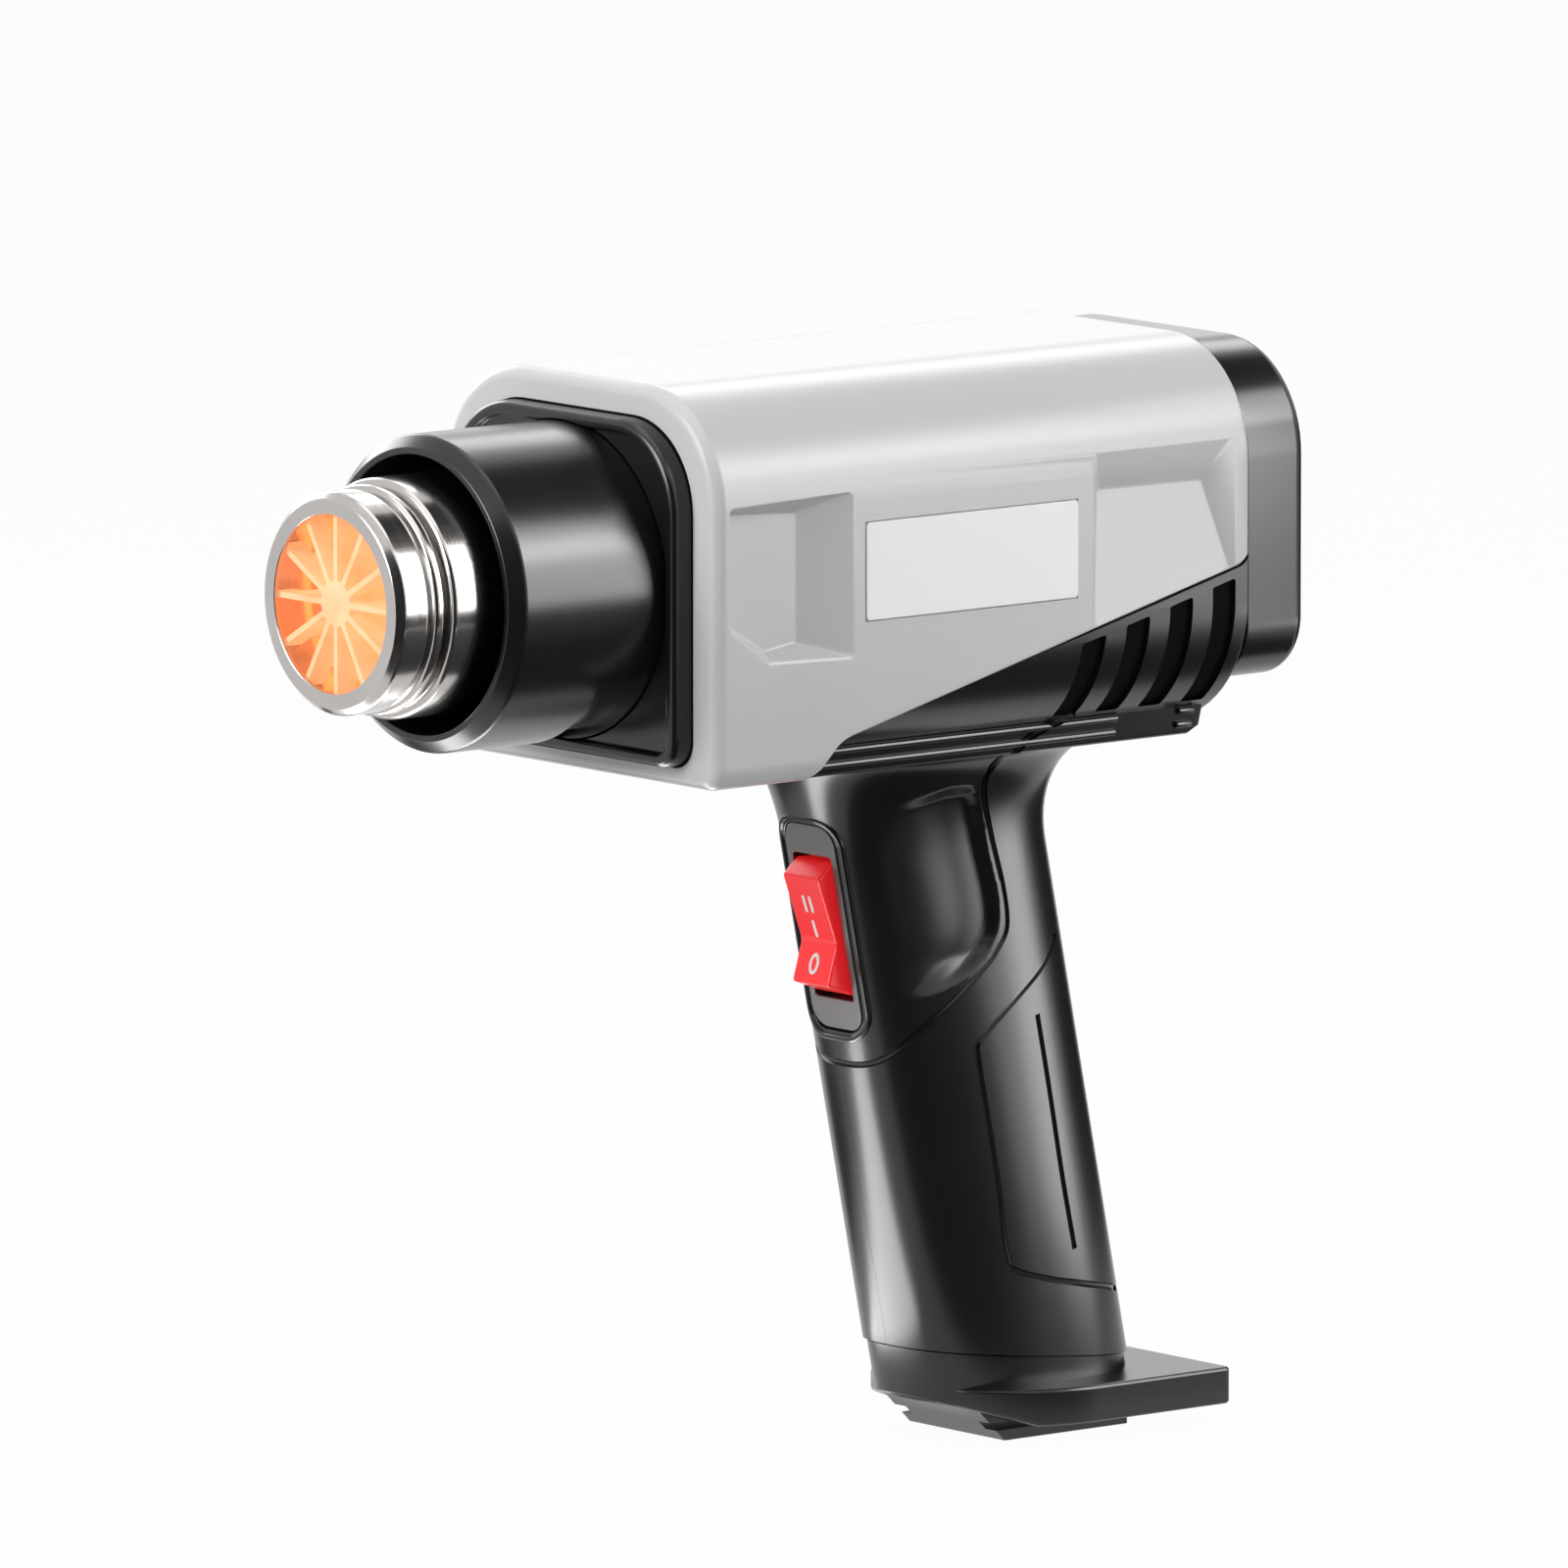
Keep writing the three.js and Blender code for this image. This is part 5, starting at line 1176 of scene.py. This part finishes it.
def makeHousing():
    obj = bodyHalf()
    carve(obj, makeHandle(), "UNION")
    addRails(obj)
    hollow(obj)
    cutBay(obj)
    cutVents(obj)
    cutLines(obj)
    # screw wells in the right half
    side = wholeTool["side"]
    for low, high in screwPlaces:
        middle = (low + high) / 2
        end = (middle.x, low.y + housing["screwSeat"], middle.z)
        carve(obj, pegPiece("well", housing["screwWell"], (middle.x, -side, middle.z), end, "y"))
    right = copyOf(obj, "rightHousing")
    obj.name = "leftHousing"
    part = grip["parting"]
    for half, node, y0, y1 in ((obj, "left_housing", part, side), (right, "right_housing", -side, -part)):
        carve(half, blockPiece("half", *wholeTool["x"], y0, y1, *wholeTool["z"]), "INTERSECT")
        tidyMesh(half)
        finishPiece(half, finishes["blackGrip"], "tool_body", [node], housing["creaseAngle"])


def makeVentShade():
    # dark sheets just inside the vents, painted shade that keeps the vents black
    rear, gap = body["rear"], body["gap"]
    inset, half = shadeSheet["depth"], shadeSheet["middle"]
    start, end = shadeSheet["run"]
    obj = bodyPrism("ventShadeSheets", inset, body["chine"], rear + start, rear + end)
    carve(obj, bodyPrism("inside", inset + shadeSheet["wall"], body["chine"], rear - 1, rear + 60))
    carve(obj, underHem("hem", -gap - shadeSheet["belowHem"], gap, False), "INTERSECT")
    carve(obj, blockPiece("middle", *wholeTool["x"], -half, half, *wholeTool["z"]))
    tidyMesh(obj)
    finishPiece(obj, finishes["ventShadeBlack"], "tool_body", [])


makeHousing()
makeVentShade()
print("housing halves made")


# rocker switch

rockerForm = {
    "length": 24.4,
    "width": 10.0,
    "topRise": 3.6,
    "creaseRise": 1.8,
    "bottomRise": 5.3,
    "crease": -2.4,
    "topShoulder": 2.1,
    "shoulder": 3.2,
    "depth": 10.0,
    "pivotDepth": 4.0,
    "waist": 1.0,  # inset of the sides beside the pins
    "foot": 8.0,  # inset of the lower face
    "rounds": [0.6, 0.6, 0.6, 0.6, 0.6, 0.6, 0.7, 2.5, 0.7],
    "pinRadius": 1.5,
    "pinReach": 1.5,
    "edge": 0.45,
}
rockerMarks = {
    "bars": [("markHighA", -0.85, 4.9), ("markHighB", 0.85, 4.9), ("markLow", 0.0, 0.2)],  # across, along
    "barSize": (0.65, 3.2),
    "barCorner": 0.2,
    "ringPlace": -5.8,
    "ringSize": (2.5, 3.4),
    "ringHole": (1.3, 2.2),
    "sink": 0.25,
    "proud": 0.12,
    "edge": 0.05,
}


def rockerHeight(s):
    # height of the rocker's face above the bay floor, s along it from its middle
    form = rockerForm
    half = form["length"] / 2
    if s > form["crease"]:
        share = (s - form["crease"]) / (half - form["topShoulder"] - form["crease"])
        return form["creaseRise"] + share * (form["topRise"] - form["creaseRise"])
    share = (form["crease"] - s) / (half - form["shoulder"] + form["crease"])
    return form["creaseRise"] + share * (form["bottomRise"] - form["creaseRise"])


def makeRocker():
    form = rockerForm
    floor = switchBay["floor"]
    half = form["length"] / 2
    waist, waistHalf = floor - form["pivotDepth"] - form["waist"], half - form["waist"]
    foot, footHalf = floor - form["depth"], half - form["foot"]
    side = [(floor, half), (waist, waistHalf), (foot, footHalf), (foot, -footHalf), (waist, -waistHalf),
            (floor, -half), (floor + form["bottomRise"], form["shoulder"] - half),
            (floor + form["creaseRise"], form["crease"]),
            (floor + form["topRise"], half - form["topShoulder"])]
    wide = form["width"] / 2
    obj = sidePrism("rockerPaddle", rounded(side, form["rounds"], 4), -wide, wide)
    bevelWhere(obj, form["edge"], 4, lambda a, b: abs(abs(a.y) - wide) < near and abs(a.y - b.y) < near)
    pivot = floor - form["pivotDepth"]
    reach = wide + form["pinReach"]
    carve(obj, pegPiece("pin", form["pinRadius"], (pivot, -reach, 0), (pivot, reach, 0), "y"), "UNION")
    onGrip(obj, switchBay["drop"])
    finishPiece(obj, finishes["redRocker"], "switch_rocker", ["rocker"])


def onRocker(name, points, s, sink, height):
    # an outline stood on the rocker's face, from sink below it
    slope = rockerHeight(s + 0.5) - rockerHeight(s - 0.5)
    place = lambda y, up: (switchBay["floor"] + rockerHeight(s) + slope * up - sink, y, s + up)
    return flatPrism(name, points, place, (height, 0, 0))


def markPlate(name, points, s):
    form = rockerMarks
    obj = onRocker(name, points, s, form["sink"], form["sink"] + form["proud"])
    softEdges(obj, form["edge"], 2)
    return obj


def barOutline(middle):
    width, length = rockerMarks["barSize"]
    bar = rectangle(middle - width / 2, -length / 2, middle + width / 2, length / 2)
    return rounded(bar, rockerMarks["barCorner"], 3)


def oval(width, height, count=40):
    turns = [2 * math.pi * i / count for i in range(count)]
    return [(width / 2 * math.cos(turn), height / 2 * math.sin(turn)) for turn in turns]


def makeMarks():
    form = rockerMarks
    marks = [markPlate(name, barOutline(middle), s) for name, middle, s in form["bars"]]
    ring = markPlate("markOff", oval(*form["ringSize"]), form["ringPlace"])
    carve(ring, onRocker("hole", oval(*form["ringHole"]), form["ringPlace"], 2, 4))
    for mark in marks + [ring]:
        onGrip(mark, switchBay["drop"])
        finishPiece(mark, finishes["whiteMark"], "switch_rocker", [])


def makeBezel():
    bay = switchBay
    floor, corner = bay["floor"], bay["round"] - bay["bezelGap"]
    half, tall = bay["width"] / 2 - bay["bezelGap"], bay["height"] / 2 - bay["bezelGap"]
    obj = sectionPrism("switchBezel", half, -tall, tall, corner, corner, floor, floor + bay["bezel"],
                       middle=0, steps=8)
    window = sectionPrism("window", bay["windowWidth"] / 2, -bay["windowHalf"], bay["windowHalf"],
                          bay["windowRound"], bay["windowRound"], floor - 1, floor + 2, middle=0, steps=4)
    carve(obj, window)
    softEdges(obj, bay["bezelEdge"], 2)
    onGrip(obj, bay["drop"])
    finishPiece(obj, finishes["greyBezel"], "tool_body", [])


makeRocker()
makeMarks()
makeBezel()
print("switch made")


# collar, shroud and nozzle


def makeCollar():
    form = collarRing
    front = body["front"] + form["reach"]
    rear = span("front_collar")[0].x
    lower, upper = form["lowerRound"], form["round"]
    obj = sectionPrism("frontCollar", collarHalf, -collarBottom, collarTop, lower, upper, rear, front,
                       steps=16)
    rimRound(obj, front, form["frontRound"], 6)
    beside, above, below = form["flangeRim"]
    flange = sectionPrism("flange", collarHalf + beside, -collarBottom - below, collarTop + above, lower,
                          upper, rear, rear + form["flange"], steps=16)
    carve(obj, flange, "UNION")
    inset = form["panelInset"]
    wide, low, high = collarHalf - inset, inset - collarBottom, collarTop - inset
    radii = [lower - inset, lower - inset, upper - inset, upper - inset]
    outline = rounded(rectangle(-wide, low, wide, high), radii, 14)
    panel = facePocket("panel", outline, front, axis, -form["panelDepth"], 2, form["panelEdge"],
                       form["panelFoot"])
    carve(obj, panel)
    carve(obj, pegPiece("bore", form["bore"], (rear - 1, 0, axis), (front + 1, 0, axis), "x", 128))
    tidyMesh(obj)
    finishPiece(obj, finishes["blackGloss"], "tool_body", ["front_collar"])


shroudForm = {
    "radius": 27.55,
    "bore": 24.15,
    "chamfer": 2.2,
    "flange": 2.5,
    "flangeLip": 2.2,
    "rounds": [0.4, 0.4, 0.4, 0.3, 1.2, 0.5, 0.4],
    "reliefRun": (3.8, 14.0),  # ahead of the cover's front
    "reliefDepth": 1.7,
}


def makeShroud():
    form = shroudForm
    low, high = span("nozzle_shroud")
    rear, front = low.x, high.x
    radius, bore = form["radius"], form["bore"]
    lip = (radius + 2 * bore) / 3
    outer, shoulder = radius + form["flangeLip"], rear + form["flange"]
    profile = [(rear, bore), (rear, outer), (shoulder, outer), (shoulder, radius),
               (front - form["chamfer"], radius), (front, lip), (front, bore)]
    obj = turnedPiece("nozzleShroud", rounded(profile, form["rounds"], 4))
    start, end = [body["front"] + ahead for ahead in form["reliefRun"]]
    floor = radius - form["reliefDepth"]
    ring = [(start, floor), (start, radius + 1), (end, radius + 1), (end, floor)]
    relief = turnedPiece("relief", ring)
    sector = blockPiece("sector", *wholeTool["x"], 0, wholeTool["side"], wholeTool["z"][0], axis - radius / 2)
    carve(relief, sector, "INTERSECT")
    carve(obj, relief)
    tidyMesh(obj)
    finishPiece(obj, finishes["blackSatin"], "tool_body", ["nozzle_shroud"])


nozzleForm = {
    "tipRadius": 18.0,
    "tipChamfer": 1.3,
    "frontRadius": 19.3,
    "frontLength": 6.3,
    "neck": 4.6,
    "neckSlope": 0.6,
    "groove": 18.3,
    "bead": 19.9,
    "beadHalf": 0.9,
    "beadFoot": 1.3,
    "radius": 20.8,
    "bore": 19.8,
    "frontBore": 17.3,
    "lipBore": 15.4,
    "wall": 1.0,
    "flangeRadius": 24.5,
    "flange": 1.2,
    "rounds": [0.3, 0.7, 0.9, 0.6, 0.5, 0.3, 0.8, 0.8, 0.3, 0.5, 0.9, 0.3, 0.2, 0.2, 0.2, 0.3, 0.2, 0.2, 0.2],
}


def makeNozzle():
    form = nozzleForm
    rear = nozzleLow.x
    neck = tip - form["frontLength"]
    barrel = neck - form["neck"]
    middle = (neck + barrel) / 2
    groove, bead, slope = form["groove"], form["bead"], form["neckSlope"]
    half, foot = form["beadHalf"], form["beadFoot"]
    flange, step, lip = rear + form["flange"], barrel - form["wall"], tip - form["wall"]
    profile = [
        (tip, form["lipBore"]), (tip, form["tipRadius"]), (tip - form["tipChamfer"], form["frontRadius"]),
        (neck, form["frontRadius"]), (neck - slope, groove), (middle + foot, groove), (middle + half, bead),
        (middle - half, bead), (middle - foot, groove), (barrel + slope, groove), (barrel, form["radius"]),
        (flange, form["radius"]), (flange, form["flangeRadius"]), (rear, form["flangeRadius"]),
        (rear, form["bore"]), (step, form["bore"]), (step, form["frontBore"]), (lip, form["frontBore"]),
        (lip, form["lipBore"]),
    ]
    obj = turnedPiece("nozzleTube", rounded(profile, form["rounds"], 5))
    finishPiece(obj, finishes["steel"], "tool_body", ["nozzle_tube"])


makeCollar()
makeShroud()
makeNozzle()
print("collar, shroud and nozzle made")


# rear cap

rearCap = {
    "side": 1.2,
    "top": 1.5,
    "bottom": 8.1,
    "shoulder": 19.4,
    "lower": 11.0,
    "wall": 2.4,
    "edge": 2.5,
    "frontEdge": 0.4,
    "spigot": 4.0,
    "spigotInset": 2.0,
    "louvres": 5,
    "louvreWidth": 34.0,
    "louvreHeight": 3.0,
    "louvreCorner": 1.4,
    "louvreEdge": 0.5,
    "louvreFoot": 0.2,
    "pitch": 7.0,
    "screwWell": 3.2,
    "wellDepth": 12.0,
}


def capPrism(name, inset, rear, front):
    form = rearCap
    return sectionPrism(name, body["half"] - form["side"] - inset, inset + form["bottom"] - body["bottom"],
                        body["top"] - form["top"] - inset, form["lower"] - inset, form["shoulder"] - inset,
                        rear, front, steps=16)


def makeRearCap():
    form = rearCap
    rear, front = span("rear_cap")[0].x, body["rear"] - body["gap"]
    obj = capPrism("rearCap", 0, rear, front)
    rimRound(obj, rear, form["edge"], 8)
    rimRound(obj, front, form["frontEdge"], 2)
    spigotEnd = body["rear"] + form["spigot"]
    carve(obj, capPrism("spigot", form["spigotInset"], front - form["wall"], spigotEnd), "UNION")
    carve(obj, capPrism("room", form["spigotInset"] + form["wall"], rear + form["wall"], spigotEnd + 1))
    centre = (body["top"] - form["top"] - body["bottom"] + form["bottom"]) / 2 + form["pitch"] / 2
    wide, tall = form["louvreWidth"] / 2, form["louvreHeight"] / 2
    outline = rounded(rectangle(-wide, -tall, wide, tall), form["louvreCorner"], 5)
    for i in range(form["louvres"]):
        z = axis + centre + (i - (form["louvres"] - 1) / 2) * form["pitch"]
        louvre = facePocket("louvre", outline, rear, z, form["wall"] + 1, -1, form["louvreEdge"],
                            form["louvreFoot"])
        carve(obj, louvre)
    for side in ("left", "right"):
        low, high = span(side + "_cap_screw")
        middle = (low + high) / 2
        end = (rear + form["wellDepth"], middle.y, middle.z)
        carve(obj, pegPiece("well", form["screwWell"], (rear - 1, middle.y, middle.z), end, "x"))
    tidyMesh(obj)
    finishPiece(obj, finishes["blackGloss"], "tool_body", ["rear_cap"])


makeRearCap()
print("rear cap made")


# battery shoe

shoe = {
    "width": 48.0,
    "nose": 25.8,
    "noseLength": 25.0,
    "rail": 3.4,
    "top": 10.0,
    "floor": 6.0,
    "heelRound": 1.2,
    "edge": 0.7,
    "chinLength": 14.0,
    "chinRise": 4.5,
    "stubStep": 0.6,
    "stubSink": 1.5,
    "stubHeights": [10, 16, 22, 30],
    "blockWidth": 26.0,
    "blockHeel": 15.0,
    "blockNose": 13.0,
    "blockSlope": 8.0,
    "groove": 3.0,
    "flange": 1.9,
    "spigotRise": 6.0,
    "spigotWall": 2.0,
    "slot": 3.0,
    "slotRoom": 1.1,
    "bladeSpacing": 14.0,
}


def makeShoe():
    form = shoe
    nose, heel, half = form["nose"], span("battery_shoe")[0].x, form["width"] / 2
    rail, floor, gap = form["rail"], form["floor"], body["gap"]
    turns = [math.radians(-90 + 180 * i / 48) for i in range(49)]
    reach = form["noseLength"]
    plan = [(nose - reach + reach * math.cos(turn), half * math.sin(turn)) for turn in turns]
    radii = [0, form["heelRound"], form["heelRound"], 0]
    plan += rounded([(nose, half), (heel, half), (heel, -half), (nose, -half)], radii, 6)[1:-1]
    obj = flatPrism("batteryShoe", plan, lambda x, y: (x, y, rail), (0, 0, form["top"] - rail))
    chinStart, chinEnd = nose - form["chinLength"], nose + form["chinLength"]
    chinTop = rail + 2 * form["chinRise"]
    under, far = wholeTool["z"][0], wholeTool["side"]
    slope = [(chinStart, rail), (chinEnd, chinTop), (chinEnd, under), (chinStart, under)]
    chin = sidePrism("chin", slope, -far, far)
    carve(obj, chin, keep=True)
    softEdges(obj, form["edge"], 4)
    stub = gripForm("stub", form["stubStep"], [rail + form["stubSink"]] + form["stubHeights"], False)
    trimAtSeam(stub, False, -gap / 2)
    carve(stub, chin)
    carve(obj, stub, "UNION")
    back, front, wide = -form["blockHeel"], form["blockNose"], form["blockWidth"] / 2
    blockTop = rail + form["chinRise"]
    block = [(back, 0), (front, 0), (front + form["blockSlope"], blockTop), (back, blockTop)]
    rails = sidePrism("rails", block, -wide, wide)
    carveBoth(rails, blockPiece("groove", *wholeTool["x"], wide - form["groove"], far, form["flange"], rail))
    carve(obj, rails, "UNION")
    wall = grip["wall"] + gap
    spigotTop = grip["seamHeight"] + form["spigotRise"]
    carve(obj, gripForm("spigot", wall, [floor + 1, spigotTop], False), "UNION")
    carve(obj, gripForm("room", wall + form["spigotWall"], [floor, spigotTop + 1], False))
    low, high = span("positive_blade")
    thick, room = form["slot"] / 2, form["slotRoom"]
    for side in (-1, 1):
        y = side * form["bladeSpacing"] / 2
        carve(obj, blockPiece("slot", low.x - room, high.x + room, y - thick, y + thick, -1, floor + 1))
    tidyMesh(obj)
    finishPiece(obj, finishes["blackGrip"], "tool_body", ["battery_shoe"])


makeShoe()
print("shoe made")


# floor, light and camera

studio = {
    "floor": 6.0,
    "floorShades": ((0.5, 0.5, 0.5), (0.52, 0.52, 0.52)),
    "floorGlow": 0.97,
    "worldLight": 0.16,
    "cardShades": ((0.012, 0.012, 0.012), (0.018, 0.018, 0.018)),
}
cameraView = {"place": (2.6137, 3.1270, 0.7063), "turn": 39.322, "rise": 8.277, "lens": 540, "sensor": 36}
lamps = [
    # name, place, size across and up, tip and turn in degrees, watts
    ("topPanel", (0.05, 0.0, 1.05), (1.0, 0.8), 0, 0, 2.5),
    ("frontPanel", (0.95, -0.12, 0.55), (0.5, 0.5), 65, 83, 7.5),
    ("sidePanel", (-0.66, 0.71, 0.83), (0.6, 0.6), 57, 223, 8.0),
    ("cameraSide", (0.35, 0.9, 0.8), (0.9, 0.7), 55, 162, 0.8),
    ("rightPanel", (-0.08, -0.97, 0.55), (0.5, 0.5), 67, 355, 4.0),
]
glows = [
    # the same for lamps that only reflections see, with their spread in degrees
    ("sideGlow", (-0.26, 0.43, 0.28), (0.2, 0.38), 80, 223, 1.9, 180),
    ("gripGlow", (-0.18, 0.157, 0.055), (0.11, 0.11), 90, 231, 0.026, 50),
    ("backGlow", (-0.82, -1.01, 0.44), (0.5, 0.32), 85, 321, 0.28, 180),
    ("topGlow", (-0.65, -0.65, 0.83), (0.5, 0.3), 56, 311, 1.7, 180),
    ("frontGlow", (0.125, -0.055, 0.004), (0.17, 0.06), 180, -28, 0.32, 180),
]
flags = [
    # dark cards that only reflections see: name, place, size, tip and turn in degrees
    ("frontFlag", (0.306, 0.244, 0.2), (0.4, 0.4), 90, 130),
    ("sideFlag", (-0.018, 0.38, 0.045), (0.4, 0.09), 90, 185),
    ("floorFlag", (0.1, 0.2, 0.001), (0.6, 0.3), 0, 0),
    ("rearFlag", (-0.29, -0.026, 0.1), (0.25, 0.2), 90, 275),
    ("noseFlag", (0.075, -0.17, 0.001), (0.09, 0.14), 0, 0),
    ("overheadFlag", (-0.19, 0.09, 0.565), (0.4, 0.3), 40, 258),
]


def makeFloor():
    clearSelection()
    bpy.ops.mesh.primitive_grid_add(x_subdivisions=8, y_subdivisions=8, size=studio["floor"])
    floor = named("studioFloor")
    finish = Finish("paleFloor", Roughness=0.9)
    drift = finish.noise(3, 2)
    finish.into("Base Color", finish.shades(drift, *studio["floorShades"]))
    ray = finish.node("ShaderNodeLightPath", output="Is Camera Ray")
    gloss = finish.node("ShaderNodeLightPath", output="Is Glossy Ray")
    clear = finish.node("ShaderNodeLightPath", output="Is Transmission Ray")
    glow = finish.node("ShaderNodeEmission", None, {"Color": (1, 1, 1, 1), "Strength": 1.0})
    share = (ray + gloss + clear) * studio["floorGlow"]
    plain = Wire(finish, finish.shader.outputs[0])
    mixed = finish.node("ShaderNodeMixShader", None, {0: share, 1: plain, 2: glow})
    finish.feed(finish.tree.nodes["Material Output"].inputs["Surface"], mixed)
    floor.data.materials.append(finish.material)


def makeWorld():
    world = bpy.data.worlds.new("studioWorld")
    bpy.context.scene.world = world
    world.use_nodes = True
    tree = world.node_tree
    background = tree.nodes["Background"]
    background.inputs["Color"].default_value = (1, 1, 1, 1)
    path = tree.nodes.new("ShaderNodeLightPath")
    total = path.outputs["Is Camera Ray"]
    for name in ("Is Glossy Ray", "Is Transmission Ray"):
        plus = tree.nodes.new("ShaderNodeMath")
        plus.operation = "ADD"
        plus.use_clamp = True
        tree.links.new(total, plus.inputs[0])
        tree.links.new(path.outputs[name], plus.inputs[1])
        total = plus.outputs[0]
    level = tree.nodes.new("ShaderNodeMapRange")
    level.inputs["To Min"].default_value = studio["worldLight"]
    level.inputs["To Max"].default_value = 1.0
    tree.links.new(total, level.inputs["Value"])
    tree.links.new(level.outputs[0], background.inputs["Strength"])


def addLamp(name, place, size, tip, turn, watts):
    clearSelection()
    bpy.ops.object.light_add(type="AREA", location=place)
    lamp = named(name)
    lamp.data.shape = "RECTANGLE"
    lamp.data.size, lamp.data.size_y = size
    lamp.data.energy = watts
    lamp.rotation_euler = (math.radians(tip), 0, math.radians(turn))
    lamp.visible_camera = False
    return lamp


def makeLamps():
    for lampForm in lamps:
        addLamp(*lampForm)
    for *glowForm, spread in glows:
        glow = addLamp(*glowForm)
        glow.data.spread = math.radians(spread)
        glow.visible_diffuse = False


def makeFlags():
    card = Finish("darkCard", Roughness=0.95)
    drift = card.noise(6, 2)
    card.into("Base Color", card.shades(drift, *studio["cardShades"]))
    for name, place, size, tip, turn in flags:
        clearSelection()
        bpy.ops.mesh.primitive_plane_add(size=1, location=place)
        flag = named(name)
        flag.scale = (*size, 1)
        flag.rotation_euler = (math.radians(tip), 0, math.radians(turn))
        flag.visible_camera = False
        flag.visible_diffuse = False
        flag.visible_transmission = False
        flag.visible_shadow = False
        flag.data.materials.append(card.material)


def makeCamera():
    clearSelection()
    turn, rise = math.radians(cameraView["turn"]), math.radians(cameraView["rise"])
    back = Vector((math.sin(turn) * math.cos(rise), math.cos(turn) * math.cos(rise), math.sin(rise)))
    bpy.ops.object.camera_add(location=cameraView["place"])
    camera = named("photoCamera")
    camera.rotation_euler = (-back).to_track_quat("-Z", "Y").to_euler()
    camera.data.sensor_width = cameraView["sensor"]
    camera.data.lens = cameraView["lens"]
    bpy.context.scene.camera = camera


makeFloor()
makeWorld()
makeLamps()
makeFlags()
makeCamera()
bpy.context.scene.view_settings.view_transform = "Standard"
print("studio made")

clearSelection()
